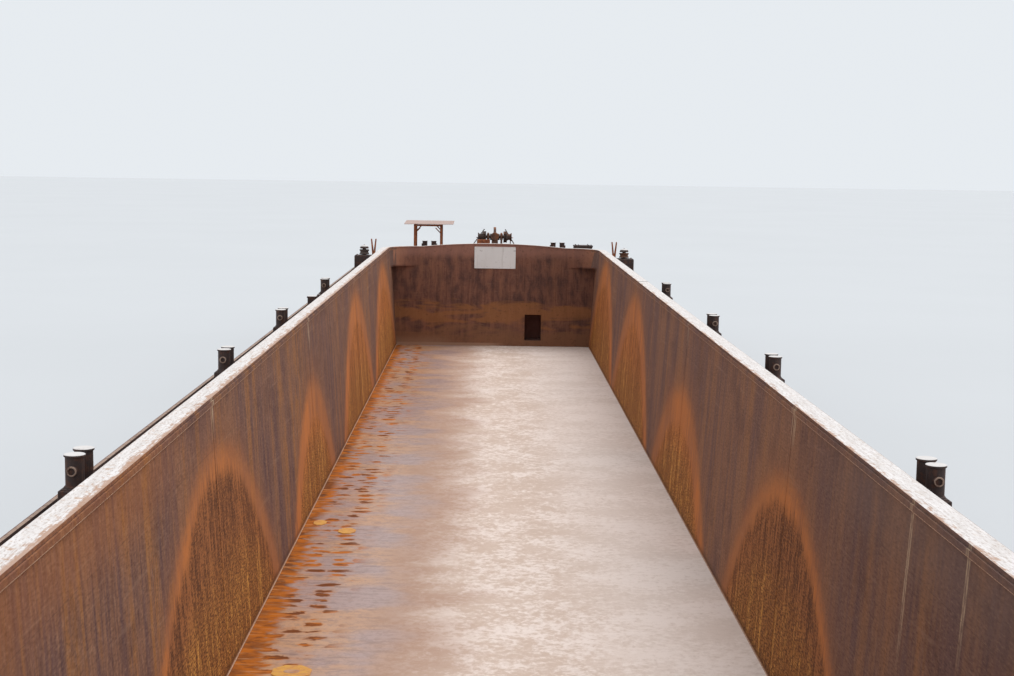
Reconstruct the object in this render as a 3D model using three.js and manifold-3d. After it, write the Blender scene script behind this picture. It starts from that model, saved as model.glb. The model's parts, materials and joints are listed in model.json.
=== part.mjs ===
// Open-hold river cargo barge without an engine, as a 1:10 scale model.
// Frame: +Y towards the bow, +X to starboard, +Z up, origin under the middle of the flat bottom.
// Every size below is the real barge's, in metres. M turns one into the model's millimetres.
import * as THREE from 'three';
import { mergeVertices } from 'three/addons/utils/BufferGeometryUtils.js';
import Module from 'manifold-3d';

const wasm = await Module();
wasm.setup();

const SCALE = 1 / 10;
const M = 1000 * SCALE;

// Clearances
const SEAM = 0.003;
const RUNNING = 0.06;
const PIN_CLEARANCE = 0.006;

// Hull
const HALF_LENGTH = 47.5;
const HALF_BEAM = 8.25;
const DECK = 5.54;
const BILGE_RADIUS = 0.6;
const FLOOR = 0.6;
const PUSH_PAD = { x: 3.4, half: 0.7, z0: 2.6, z1: 5.34, thickness: 0.2 };
const STERN = -(HALF_LENGTH - PUSH_PAD.thickness);
const BOW = HALF_LENGTH;
const BOW_CORNER_RADIUS = 3;
const STERN_CORNER_RADIUS = 1.2;
const BOW_RAKE_LENGTH = 7.5;
const BOW_RAKE_HEIGHT = 4.2;
const STERN_RAKE_LENGTH = 6.3;
const STERN_RAKE_HEIGHT = 1.7;

// Hold: its side walls lean out from the floor to the coaming's top
const HALF_HOLD = 38.5;
const FLOOR_HALF_WIDTH = 5.895;
const TOP_HALF_WIDTH = 6.255;
const COAMING_HEIGHT = 1.1;
const COAMING_TOP = DECK + COAMING_HEIGHT;
const WALL_LEAN = (TOP_HALF_WIDTH - FLOOR_HALF_WIDTH) / (COAMING_TOP - FLOOR);
const BULKHEAD_THICKNESS = 0.12;
const BODY_HALF_LENGTH = HALF_HOLD + BULKHEAD_THICKNESS;

// Coaming: a plate with a flat flange on top and stays outside
const FLANGE_WIDTH = 0.445;
const FLANGE_THICKNESS = 0.06;
const FLANGE_LIP = 0.16;
const FLANGE_OVERHANG = 0.03;
const COAMING_PLATE = 0.1;
const COAMING_CORNER_RADIUS = 1.9;
const COAMING_CAMBER = { fore: 0.22, aft: 0.1 };
const CORNER_PLATE_THICKNESS = 0.08;
const STAY_SPACING = 2.4;
const STAY_THICKNESS = 0.06;
const STAY_FOOT = 0.42;

// Deck edge
const STRAKE_RADIUS = 0.15;
const STRAKE_HEIGHT = DECK - 0.3;
const TOE_RAIL = { x: 8.04, width: 0.08, height: 0.12 };
const EDGE_AFT = -45.9;
const EDGE_FORE = 44.2;

// Collars on the bow deck where the anchor chains go down
const HAWSE = { x: 1.7, y: 45.9, radius: 0.34, bore: 0.2, height: 0.25 };

// Access opening through the fore bulkhead, with the dark space behind it
const ACCESS = { x0: 1.94, x1: 2.94, z0: FLOOR + 0.35, z1: FLOOR + 1.94, depth: 1.2 };

const paint = (color, roughness = 0.8, metalness = 0.3) =>
  new THREE.MeshStandardMaterial({ color, roughness, metalness });

const MATERIAL = {
  hull: paint(0x4a2f2a),
  floor: paint(0x9a6a45, 0.7),
  wall: paint(0x5a3d36),
  bulkhead: paint(0x46302c),
  coaming: paint(0x5d4641),
  deckGear: paint(0x3a2c2a),
  rust: paint(0x9c5430),
  machinery: paint(0x6a4432, 0.7, 0.5),
  steel: paint(0x4b4643, 0.5, 0.8),
  roof: paint(0xb79a8c, 0.75, 0.2),
  board: paint(0x8ba39a, 0.7, 0.2),
  mast: paint(0xc9c4b8, 0.6, 0.3),
};

// Sides of the turned pieces
const POST_SIDES = 12;
const PIN_SIDES = 8;
const DRUM_SIDES = 18;

const barge = new THREE.Group();

// Solids and booleans

function toSolid(geometry) {
  const bare = geometry.clone();
  bare.deleteAttribute('normal');
  bare.deleteAttribute('uv');
  const merged = mergeVertices(bare, 1e-4);
  return new wasm.Manifold(new wasm.Mesh({
    numProp: 3,
    vertProperties: new Float32Array(merged.attributes.position.array),
    triVerts: new Uint32Array(merged.index.array),
  }));
}

function toGeometry(solid) {
  const mesh = solid.getMesh();
  const geometry = new THREE.BufferGeometry();
  geometry.setAttribute('position', new THREE.BufferAttribute(new Float32Array(mesh.vertProperties), 3));
  geometry.setIndex(new THREE.BufferAttribute(new Uint32Array(mesh.triVerts), 1));
  return geometry;
}

const join = (...geometries) =>
  toGeometry(geometries.map(toSolid).reduce((whole, piece) => whole.add(piece)));

const cut = (geometry, ...tools) =>
  toGeometry(tools.map(toSolid).reduce((rest, tool) => rest.subtract(tool), toSolid(geometry)));

const common = (...geometries) =>
  toGeometry(geometries.map(toSolid).reduce((shared, piece) => shared.intersect(piece)));

// Shapes, all taking real metres

function box(x0, x1, y0, y1, z0, z1) {
  const geometry = new THREE.BoxGeometry((x1 - x0) * M, (y1 - y0) * M, (z1 - z0) * M);
  return geometry.translate((x0 + x1) / 2 * M, (y0 + y1) / 2 * M, (z0 + z1) / 2 * M);
}

// A prism: corners are pairs in the plane across the axis, that is [y, z], [x, z] or [x, y]
function prism(axis, corners, from, to) {
  const shape = new THREE.Shape(corners.map(([a, b]) => new THREE.Vector2(a * M, b * M)));
  const geometry = new THREE.ExtrudeGeometry(shape, { depth: (to - from) * M, bevelEnabled: false });
  if (axis === 'x') {
    geometry.applyMatrix4(new THREE.Matrix4().set(0, 0, 1, from * M, 1, 0, 0, 0, 0, 1, 0, 0, 0, 0, 0, 1));
  } else if (axis === 'y') {
    geometry.applyMatrix4(new THREE.Matrix4().set(1, 0, 0, 0, 0, 0, -1, to * M, 0, 1, 0, 0, 0, 0, 0, 1));
  } else {
    geometry.translate(0, 0, from * M);
  }
  return geometry;
}

// A turned piece: profile is [radius, distance along the axis], closed on itself or on the axis
function turned(axis, profile, at, segments = 20) {
  const points = profile.map(([r, d]) => new THREE.Vector2(r * M, d * M));
  const geometry = new THREE.LatheGeometry(points, segments);
  if (axis === 'x') geometry.rotateZ(-Math.PI / 2);
  if (axis === 'z') geometry.rotateX(Math.PI / 2);
  return geometry.translate(at[0] * M, at[1] * M, at[2] * M);
}

const rod = (axis, radius, length, at, segments = 12) =>
  turned(axis, [[0, 0], [radius, 0], [radius, length], [0, length]], at, segments);

// Points of an arc about a centre, from one angle to another in degrees
function arc(cx, cy, rx, ry, from, to, steps) {
  return Array.from({ length: steps + 1 }, (_, i) => {
    const angle = THREE.MathUtils.degToRad(from + (to - from) * i / steps);
    return [cx + rx * Math.cos(angle), cy + ry * Math.sin(angle)];
  });
}

function add(name, geometry, material, parent = barge) {
  const mesh = new THREE.Mesh(geometry, material);
  mesh.name = name;
  parent.add(mesh);
  return mesh;
}

const wallAt = (z) => FLOOR_HALF_WIDTH + (z - FLOOR) * WALL_LEAN;

const BULKHEAD_FACE = HALF_HOLD + FLANGE_OVERHANG;

const SIDES = [
  { name: 'port', sign: -1 },
  { name: 'starboard', sign: 1 },
];

const mirrored = (corners, sign) => (sign > 0 ? corners : corners.map(([x, z]) => [-x, z]).reverse());

// Hull: double bottom, wing tanks and the two closed ends

function addBottomAndWings() {
  const half = BULKHEAD_FACE - SEAM;
  add('double_bottom', box(-FLOOR_HALF_WIDTH, FLOOR_HALF_WIDTH, -half, half, 0, FLOOR), MATERIAL.floor);
  const inner = FLOOR_HALF_WIDTH + SEAM;
  const section = [
    [inner, 0],
    ...arc(HALF_BEAM - BILGE_RADIUS, BILGE_RADIUS, BILGE_RADIUS, BILGE_RADIUS, -90, 0, 6),
    [HALF_BEAM, DECK],
    [wallAt(DECK) + SEAM, DECK],
    [inner, FLOOR],
  ];
  for (const { name, sign } of SIDES) {
    add(`wing_tank_${name}`, prism('y', mirrored(section, sign), -BODY_HALF_LENGTH, BODY_HALF_LENGTH),
      MATERIAL.wall);
  }
}

const hullSection = [
  ...arc(-HALF_BEAM + BILGE_RADIUS, BILGE_RADIUS, BILGE_RADIUS, BILGE_RADIUS, 180, 270, 6),
  ...arc(HALF_BEAM - BILGE_RADIUS, BILGE_RADIUS, BILGE_RADIUS, BILGE_RADIUS, 270, 360, 6),
  [HALF_BEAM, DECK],
  [-HALF_BEAM, DECK],
];

// The bow's rake in side view, as [y, z] from the flat bottom up, and the facet where the anchors lie
const RAKE_STEPS = 10;
const ANCHOR_FACET = 6;
const bowRake = arc(BOW - BOW_RAKE_LENGTH, BOW_RAKE_HEIGHT, BOW_RAKE_LENGTH, BOW_RAKE_HEIGHT,
  -90, 0, RAKE_STEPS);

// One closed end: side profile, plan with rounded corners and the midship section, all in common
function hullEnd(profile, end, cornerRadius) {
  const start = Math.sign(end) * (BODY_HALF_LENGTH + SEAM);
  const outerY = Math.abs(end) - cornerRadius;
  const outerX = HALF_BEAM - cornerRadius;
  const plan = [
    [-HALF_BEAM, Math.abs(start)],
    [HALF_BEAM, Math.abs(start)],
    ...arc(outerX, outerY, cornerRadius, cornerRadius, 0, 90, 8),
    ...arc(-outerX, outerY, cornerRadius, cornerRadius, 90, 180, 8),
  ];
  const planHere = end > 0 ? plan : plan.map(([x, y]) => [x, -y]).reverse();
  return common(
    prism('x', profile, -HALF_BEAM, HALF_BEAM),
    prism('z', planHere, 0, DECK),
    prism('y', hullSection, Math.min(start, end), Math.max(start, end)),
  );
}

const sternRakeStart = STERN + STERN_RAKE_LENGTH;
const sternRakeAt = (y) => STERN_RAKE_HEIGHT * Math.max(0, sternRakeStart - y) / STERN_RAKE_LENGTH;

function addHullEnds() {
  const bodyEnd = BODY_HALF_LENGTH + SEAM;
  const bowProfile = [
    [bodyEnd, DECK],
    [bodyEnd, 0],
    ...bowRake,
    [BOW, DECK],
  ];
  const sternProfile = [
    [STERN, DECK],
    [STERN, STERN_RAKE_HEIGHT],
    [sternRakeStart, 0],
    [-bodyEnd, 0],
    [-bodyEnd, DECK],
  ];
  const collars = SIDES.map(({ sign }) => turned('z', [
    [HAWSE.bore, -0.05],
    [HAWSE.radius, -0.05],
    [HAWSE.radius, HAWSE.height - 0.08],
    [HAWSE.radius - 0.07, HAWSE.height],
    [HAWSE.bore, HAWSE.height],
    [HAWSE.bore, -0.05],
  ], [sign * HAWSE.x, HAWSE.y, DECK], POST_SIDES));
  const pads = SIDES.map(({ sign }) => box(sign * PUSH_PAD.x - PUSH_PAD.half, sign * PUSH_PAD.x + PUSH_PAD.half,
    -HALF_LENGTH, STERN + 0.1, PUSH_PAD.z0, PUSH_PAD.z1));
  const dark = box(ACCESS.x0, ACCESS.x1, bodyEnd - 0.1, bodyEnd + ACCESS.depth, ACCESS.z0, ACCESS.z1);
  const bow = join(hullEnd(bowProfile, BOW, BOW_CORNER_RADIUS), ...collars);
  add('bow_section', cut(bow, dark), MATERIAL.hull);
  add('stern_section', join(hullEnd(sternProfile, STERN, STERN_CORNER_RADIUS), ...pads), MATERIAL.hull);
}

// Bulkheads stand between the wing tanks at both ends of the hold, from the flat bottom to the deck
function addBulkheads() {
  const foot = wallAt(FLOOR) - SEAM;
  const head = wallAt(DECK) - SEAM;
  const outline = [[-foot, 0], [foot, 0], [foot, FLOOR], [head, DECK], [-head, DECK], [-foot, FLOOR]];
  const fore = prism('y', outline, BULKHEAD_FACE, BODY_HALF_LENGTH);
  const opening = box(ACCESS.x0, ACCESS.x1, HALF_HOLD - 1, HALF_HOLD + 1, ACCESS.z0, ACCESS.z1);
  add('bulkhead_fore', cut(fore, opening), MATERIAL.bulkhead);
  add('bulkhead_aft', prism('y', outline, -BODY_HALF_LENGTH, -BULKHEAD_FACE), MATERIAL.bulkhead);
}

// Coaming: its section is swept along the hold's edge. A path point is {x, y, nx, ny}, where the
// normal points out of the hold, and a section corner is [distance out, height].

const coamingSection = [
  [FLANGE_OVERHANG, DECK + SEAM],
  [FLANGE_OVERHANG + COAMING_PLATE, DECK + SEAM],
  [FLANGE_OVERHANG + COAMING_PLATE, COAMING_TOP - FLANGE_THICKNESS],
  [FLANGE_WIDTH - FLANGE_THICKNESS, COAMING_TOP - FLANGE_THICKNESS],
  [FLANGE_WIDTH - FLANGE_THICKNESS, COAMING_TOP - FLANGE_LIP],
  [FLANGE_WIDTH, COAMING_TOP - FLANGE_LIP],
  [FLANGE_WIDTH, COAMING_TOP],
  [0, COAMING_TOP],
  [0, COAMING_TOP - FLANGE_THICKNESS],
  [FLANGE_OVERHANG, COAMING_TOP - FLANGE_THICKNESS],
];

function camberAt(x, camber) {
  const straight = TOP_HALF_WIDTH - COAMING_CORNER_RADIUS;
  return camber * Math.max(0, 1 - (x / straight) ** 2);
}

function sweepCoaming(path, camber = 0) {
  const count = coamingSection.length;
  const vertices = [];
  for (const { x, y, nx, ny } of path) {
    for (const [out, z] of coamingSection) {
      const lean = (z - COAMING_TOP) * WALL_LEAN * nx * nx;
      const raised = z > COAMING_TOP - 2 * FLANGE_LIP ? camberAt(x, camber) * ny * ny : 0;
      vertices.push((x + nx * (out + lean)) * M, (y + ny * (out + lean)) * M, (z + raised) * M);
    }
  }
  const index = [];
  for (let i = 0; i + 1 < path.length; i++) {
    for (let j = 0; j < count; j++) {
      const a = i * count + j;
      const b = i * count + (j + 1) % count;
      index.push(a, b, b + count, a, b + count, a + count);
    }
  }
  const flat = coamingSection.map(([out, z]) => new THREE.Vector2(out, z));
  const last = (path.length - 1) * count;
  for (const [a, b, c] of THREE.ShapeUtils.triangulateShape(flat, [])) {
    index.push(a, c, b, last + a, last + b, last + c);
  }
  const geometry = new THREE.BufferGeometry();
  geometry.setAttribute('position', new THREE.Float32BufferAttribute(vertices, 3));
  geometry.setIndex(index);
  return toSolid(geometry).volume() > 0 ? geometry : flipped(geometry);
}

function flipped(geometry) {
  const index = Array.from(geometry.index.array);
  for (let i = 0; i < index.length; i += 3) {
    [index[i + 1], index[i + 2]] = [index[i + 2], index[i + 1]];
  }
  geometry.setIndex(index);
  return geometry;
}

// A stay's outline across the coaming: foot on the deck, head under the flange
const stayOutline = [
  [FLANGE_OVERHANG + COAMING_PLATE / 2, DECK + SEAM],
  [FLANGE_OVERHANG + COAMING_PLATE + STAY_FOOT, DECK + SEAM],
  [FLANGE_OVERHANG + COAMING_PLATE + STAY_FOOT, DECK + 0.08],
  [FLANGE_WIDTH - FLANGE_THICKNESS, COAMING_TOP - FLANGE_LIP],
  [FLANGE_WIDTH - FLANGE_THICKNESS / 2, COAMING_TOP - FLANGE_THICKNESS / 2],
  [FLANGE_OVERHANG + COAMING_PLATE / 2, COAMING_TOP - FLANGE_THICKNESS / 2],
];

const coamingSideHalf = HALF_HOLD - COAMING_CORNER_RADIUS;

function addSideCoamings() {
  const count = Math.floor(2 * (coamingSideHalf - 0.5) / STAY_SPACING);
  const outline = stayOutline.map(([out, z]) => [TOP_HALF_WIDTH + out, z]);
  for (const { name, sign } of SIDES) {
    const side = { x: sign * TOP_HALF_WIDTH, nx: sign, ny: 0 };
    const plate = sweepCoaming([{ ...side, y: -coamingSideHalf }, { ...side, y: coamingSideHalf }]);
    const stays = Array.from({ length: count + 1 }, (_, i) => {
      const y = (i - count / 2) * STAY_SPACING;
      return prism('y', mirrored(outline, sign), y - STAY_THICKNESS / 2, y + STAY_THICKNESS / 2);
    });
    add(`coaming_${name}`, join(plate, ...stays), MATERIAL.coaming);
  }
}

// End coamings turn the corners and carry the deck plates that fill the square corners below them
function addEndCoamings() {
  const r = COAMING_CORNER_RADIUS;
  const cx = TOP_HALF_WIDTH - r;
  const cy = HALF_HOLD - r;
  const corner = (sign, from, to) => arc(0, 0, 1, 1, from, to, 10).map(([nx, ny]) => (
    { x: sign * cx + r * nx, y: cy + r * ny, nx, ny }));
  const middle = Array.from({ length: 9 }, (_, i) => (
    { x: cx * (4 - i) / 5, y: HALF_HOLD, nx: 0, ny: 1 }));
  const forePath = [...corner(1, 0, 90), ...middle, ...corner(-1, 90, 180)];
  forePath[0].y += SEAM;
  forePath[forePath.length - 1].y += SEAM;
  const stayXs = [-3.2, -1.6, 1.6, 3.2];
  const reachX = wallAt(DECK - CORNER_PLATE_THICKNESS) - SEAM;
  const reachY = BULKHEAD_FACE - SEAM;
  const plateRadius = r + FLANGE_OVERHANG;
  const fromAngle = THREE.MathUtils.radToDeg(Math.acos((reachX - cx) / plateRadius));
  const toAngle = THREE.MathUtils.radToDeg(Math.asin((reachY - cy) / plateRadius));
  const cornerPlate = [
    [reachX, reachY],
    ...arc(cx, cy, plateRadius, plateRadius, toAngle, fromAngle, 8),
  ];
  for (const { name, end } of [{ name: 'fore', end: 1 }, { name: 'aft', end: -1 }]) {
    const path = forePath.map((p) => ({ ...p, y: end * p.y, ny: end * p.ny }));
    const stays = stayXs.map((x) => prism('x',
      stayOutline.map(([out, z]) => [end * (HALF_HOLD + out), z]),
      x - STAY_THICKNESS / 2, x + STAY_THICKNESS / 2));
    const plates = SIDES.map(({ sign }) => {
      const outline = cornerPlate.map(([x, y]) => [sign * x, end * y]);
      return prism('z', outline, DECK - CORNER_PLATE_THICKNESS, DECK + 2 * SEAM);
    });
    add(`coaming_${name}`, join(sweepCoaming(path, COAMING_CAMBER[name]), ...plates, ...stays), MATERIAL.coaming);
  }
}

// Deck edge: half-round rubbing strake on the shell and a low toe rail on the deck
function addDeckEdge() {
  const strake = arc(HALF_BEAM + SEAM, STRAKE_HEIGHT, STRAKE_RADIUS, STRAKE_RADIUS, -90, 90, 8);
  for (const { name, sign } of SIDES) {
    add(`rubbing_strake_${name}`, prism('y', mirrored(strake, sign), EDGE_AFT, EDGE_FORE), MATERIAL.deckGear);
    const x = sign * TOE_RAIL.x;
    add(`toe_rail_${name}`, box(x - TOE_RAIL.width / 2, x + TOE_RAIL.width / 2, EDGE_AFT, EDGE_FORE,
      DECK, DECK + TOE_RAIL.height), MATERIAL.deckGear);
  }
}

// Double bollards: a welded pedestal with two capped pipe posts, each with a stub pin on its outer side
const BOLLARD = {
  x: 7.44, pedestalLength: 1.12, pedestalWidth: 0.46, pedestalHeight: 0.5,
  postRadius: 0.1625, postSpacing: 0.58, capRadius: 0.185, capThickness: 0.05,
  pinRadius: 0.09, pinOut: 0.06, pinHeight: 0.83,
};

function bollard(along) {
  const b = BOLLARD;
  const across = (length, width) => (along === 'y' ? [width, length] : [length, width]);
  const [halfX, halfY] = across(b.pedestalLength / 2, b.pedestalWidth / 2);
  const pieces = [box(-halfX, halfX, -halfY, halfY, 0, b.pedestalHeight)];
  for (const side of [-1, 1]) {
    const [px, py] = across(side * b.postSpacing / 2, 0);
    pieces.push(turned('z', [
      [0, b.pedestalHeight / 2],
      [b.postRadius, b.pedestalHeight / 2],
      [b.postRadius, COAMING_HEIGHT - b.capThickness],
      [b.capRadius, COAMING_HEIGHT - b.capThickness],
      [b.capRadius, COAMING_HEIGHT],
      [0, COAMING_HEIGHT],
    ], [px, py, 0], POST_SIDES));
    const inner = b.postSpacing / 2;
    const outer = inner + b.postRadius + b.pinOut;
    const start = across(side > 0 ? inner : -outer, 0);
    pieces.push(rod(along, b.pinRadius, outer - inner, [...start, b.pinHeight], PIN_SIDES));
  }
  return join(...pieces);
}

// Distance of each side bollard from the middle of the hold, and the pairs on the end decks
const SIDE_BOLLARDS = [
  { name: '1', y: 12.5 },
  { name: '2', y: -1.15 },
  { name: '3', y: -12.15 },
  { name: '4', y: -26.75 },
  { name: '5', y: -36.6 },
];
const END_BOLLARDS = [
  { name: 'bow', x: 4.2, y: 45.4 },
  { name: 'stern', x: 5.2, y: -45.4 },
];

function addBollards() {
  for (const { name: side, sign } of SIDES) {
    for (const { name, y } of SIDE_BOLLARDS) {
      add(`bollard_${side}_${name}`, bollard('y'), MATERIAL.deckGear)
        .position.set(sign * BOLLARD.x * M, y * M, DECK * M);
    }
    for (const { name, x, y } of END_BOLLARDS) {
      add(`bollard_${name}_${side}`, bollard('x'), MATERIAL.deckGear)
        .position.set(sign * x * M, y * M, DECK * M);
    }
  }
}

// Corner rollers: a box pedestal with a domed spindle, and a spool that turns on it
const ROLLER = {
  x: 7.38, bowY: 32.4, sternY: -34.3, half: 0.52, pedestalHeight: 0.9, spindleRadius: 0.1,
  spoolHeight: 0.26, spoolWaist: 0.23, spoolRim: 0.275, capRadius: 0.25, capHeight: 0.22,
};

function addCornerRollers() {
  const r = ROLLER;
  const spoolBottom = r.pedestalHeight + RUNNING;
  const capBottom = spoolBottom + r.spoolHeight + RUNNING;
  const pedestal = join(
    box(-r.half, r.half, -r.half, r.half, 0, r.pedestalHeight),
    turned('z', [
      [0, r.pedestalHeight / 2],
      [r.spindleRadius, r.pedestalHeight / 2],
      [r.spindleRadius, capBottom],
      ...arc(0, capBottom, r.capRadius, r.capHeight, 0, 90, 4),
    ], [0, 0, 0], POST_SIDES),
  );
  const bore = r.spindleRadius + PIN_CLEARANCE;
  const spool = turned('z', [
    [bore, 0],
    [r.spoolRim, 0],
    [r.spoolRim, 0.05],
    [r.spoolWaist, 0.1],
    [r.spoolWaist, r.spoolHeight - 0.1],
    [r.spoolRim, r.spoolHeight - 0.05],
    [r.spoolRim, r.spoolHeight],
    [bore, r.spoolHeight],
    [bore, 0],
  ], [0, 0, 0], POST_SIDES);
  for (const { name: side, sign } of SIDES) {
    for (const { name: end, y } of [{ name: 'bow', y: r.bowY }, { name: 'stern', y: r.sternY }]) {
      add(`roller_pedestal_${end}_${side}`, pedestal.clone(), MATERIAL.deckGear)
        .position.set(sign * r.x * M, y * M, DECK * M);
      add(`roller_spool_${end}_${side}`, spool.clone(), MATERIAL.steel)
        .position.set(sign * r.x * M, y * M, (DECK + spoolBottom) * M);
    }
  }
}

// Windlass on the bow deck: bed with two bearing frames, motor block and the shaft that turns
const WINDLASS = {
  x: 0.06, y: 42.4, bedHalfX: 1.15, bedHalfY: 0.95, bedHeight: 0.35, axisHeight: 1.55,
  frameX: 0.42, frameThickness: 0.12, shaftRadius: 0.1, gearRadius: 0.62, gearWidth: 0.16,
  gypsyX: 0.66, gypsyRadius: 0.36, gypsyWidth: 0.22, headRadius: 0.26, shaftHalf: 1.07,
  motorHeight: 1.62, motorRadius: 0.25,
};

function addWindlass() {
  const w = WINDLASS;
  const windlass = new THREE.Group();
  windlass.position.set(w.x * M, w.y * M, DECK * M);
  barge.add(windlass);
  const frame = (x) => prism('x', [
    [-0.45, w.bedHeight / 2],
    [0.45, w.bedHeight / 2],
    [0.26, w.axisHeight + 0.12],
    [0.14, w.axisHeight + 0.26],
    [-0.14, w.axisHeight + 0.26],
    [-0.26, w.axisHeight + 0.12],
  ], x - w.frameThickness / 2, x + w.frameThickness / 2);
  const bore = rod('x', w.shaftRadius + PIN_CLEARANCE, 2 * w.bedHalfX, [-w.bedHalfX, 0, w.axisHeight], 24);
  const bed = join(
    box(-w.bedHalfX, w.bedHalfX, -w.bedHalfY, w.bedHalfY, 0, w.bedHeight),
    frame(-w.frameX),
    frame(w.frameX),
  );
  add('windlass_bed', cut(bed, bore), MATERIAL.machinery, windlass);
  const motorFoot = w.bedHeight + SEAM;
  add('windlass_motor', join(
    box(-1.12, 0.24, -0.93, -0.69, motorFoot, motorFoot + 0.2),
    box(-1.12, -0.3, -0.93, -0.52, motorFoot, 1.4),
    box(-0.2, 0.2, -0.9, -0.72, motorFoot, w.motorHeight),
    rod('y', w.motorRadius, 0.26, [0, -0.95, w.motorHeight], 16),
  ), MATERIAL.rust, windlass);
  const half = w.shaftHalf;
  const g = w.gypsyWidth / 2;
  const rightHalf = [
    [w.gearRadius, w.gearWidth / 2],
    [0.2, w.gearWidth / 2],
    [0.2, w.frameX - w.frameThickness / 2 - RUNNING],
    [w.shaftRadius, w.frameX - w.frameThickness / 2 - RUNNING],
    [w.shaftRadius, w.gypsyX - g],
    [w.gypsyRadius, w.gypsyX - g],
    [w.gypsyRadius, w.gypsyX - g + 0.04],
    [w.gypsyRadius - 0.09, w.gypsyX],
    [w.gypsyRadius, w.gypsyX + g - 0.04],
    [w.gypsyRadius, w.gypsyX + g],
    [w.headRadius, w.gypsyX + g],
    [w.headRadius - 0.07, w.gypsyX + g + 0.06],
    [w.headRadius - 0.07, half - 0.1],
    [w.headRadius, half - 0.04],
    [w.headRadius, half],
    [0, half],
  ];
  const leftHalf = rightHalf.map(([r, d]) => [r, -d]).reverse();
  add('windlass_shaft', turned('x', [...leftHalf, ...rightHalf], [0, 0, w.axisHeight],
    DRUM_SIDES), MATERIAL.steel, windlass);
}

// Anchors hang under the bow's rake, and their chains run from the windlass to the hawse collars
const CHAIN_WIDTH = 0.13;

function addGroundTackle() {
  const w = WINDLASS;
  for (const { name, sign } of SIDES) {
    const start = new THREE.Vector3(w.x + sign * w.gypsyX, w.y + 0.12, DECK + w.axisHeight + w.gypsyRadius + 0.12);
    const over = new THREE.Vector3(sign * HAWSE.x, HAWSE.y, DECK + HAWSE.height + 0.12);
    const down = new THREE.Vector3(sign * HAWSE.x, HAWSE.y, DECK + SEAM);
    const path = new THREE.CurvePath();
    for (const [from, to] of [[start, over], [over, down]]) {
      path.add(new THREE.LineCurve3(from.clone().multiplyScalar(M), to.clone().multiplyScalar(M)));
    }
    const half = CHAIN_WIDTH / 2 * M;
    const link = new THREE.Shape([[-half, -half], [half, -half], [half, half], [-half, half]]
      .map(([a, b]) => new THREE.Vector2(a, b)));
    add(`anchor_chain_${name}`, new THREE.ExtrudeGeometry(link, { steps: 12, extrudePath: path }),
      MATERIAL.steel);
    addAnchor(name, sign);
  }
}

// Stockless anchor, drawn flat in its own frame: shank along +Y, lying against the shell at z = 0
const ANCHOR = { x: 1.7, shank: 1.7, crownHalf: 0.55, flukeLength: 0.95, depth: 0.26 };

function addAnchor(name, sign) {
  const a = ANCHOR;
  const flukes = [-1, 1].map((side) => prism('z', [
    [side * 0.16, 0],
    [side * a.crownHalf, 0],
    [side * (a.crownHalf - 0.04), 0.35],
    [side * 0.24, a.flukeLength],
    [side * 0.16, 0.4],
  ], -a.depth * 0.8, -a.depth * 0.2));
  const anchor = join(
    box(-a.crownHalf, a.crownHalf, -0.22, 0.1, -a.depth, 0),
    box(-0.09, 0.09, 0, a.shank, -a.depth * 0.75, 0),
    rod('z', 0.14, a.depth * 0.6, [0, a.shank, -a.depth * 0.75], 12),
    ...flukes,
  );
  const [low, high] = bowRake.slice(ANCHOR_FACET, ANCHOR_FACET + 2).map(([y, z]) => new THREE.Vector3(0, y, z));
  const tangent = high.clone().sub(low).normalize();
  const outward = new THREE.Vector3(0, tangent.z, -tangent.y);
  const across = new THREE.Vector3().crossVectors(tangent, outward.clone().negate());
  const place = new THREE.Matrix4().makeBasis(across, tangent, outward.clone().negate());
  const seat = low.clone().add(high).multiplyScalar(0.5)
    .addScaledVector(outward, SEAM)
    .addScaledVector(tangent, -a.shank / 2)
    .setX(sign * a.x);
  place.setPosition(seat.multiplyScalar(M));
  add(`anchor_${name}`, anchor.applyMatrix4(place), MATERIAL.steel);
}

// Horn posts: a short post at each bow corner whose two spread horns hold a rope from ahead
const HORN_POST = { x: 7.2, y: 37, half: 0.08, base: 0.16, fork: 0.75, height: 1.6, spread: 0.17, horn: 0.07 };

function addHornPosts() {
  const h = HORN_POST;
  const horn = [[0, h.fork - 0.2], [h.half, h.fork - 0.2], [h.spread, h.height], [h.spread - h.horn, h.height],
    [0, h.fork + 0.1]];
  for (const { name, sign } of SIDES) {
    add(`horn_post_${name}`, join(
      box(-h.base, h.base, -h.base, h.base, 0, 0.04),
      box(-h.half, h.half, -h.half, h.half, 0.02, h.fork),
      ...[-1, 1].map((side) => prism('y', mirrored(horn, side), -h.half, h.half)),
    ), MATERIAL.rust).position.set(sign * h.x * M, h.y * M, DECK * M);
  }
}

// Shelter on the port side of the bow deck: four posts, top rails and a sloping sheet roof
const SHELTER = {
  x0: -5.57, x1: -2.53, y0: 40.2, y1: 43.2, low: 2.36, high: 2.46, sheet: 0.06, post: 0.12,
  postXs: [-4.93, -3.3], postYs: [40.7, 42.7],
};

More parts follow.
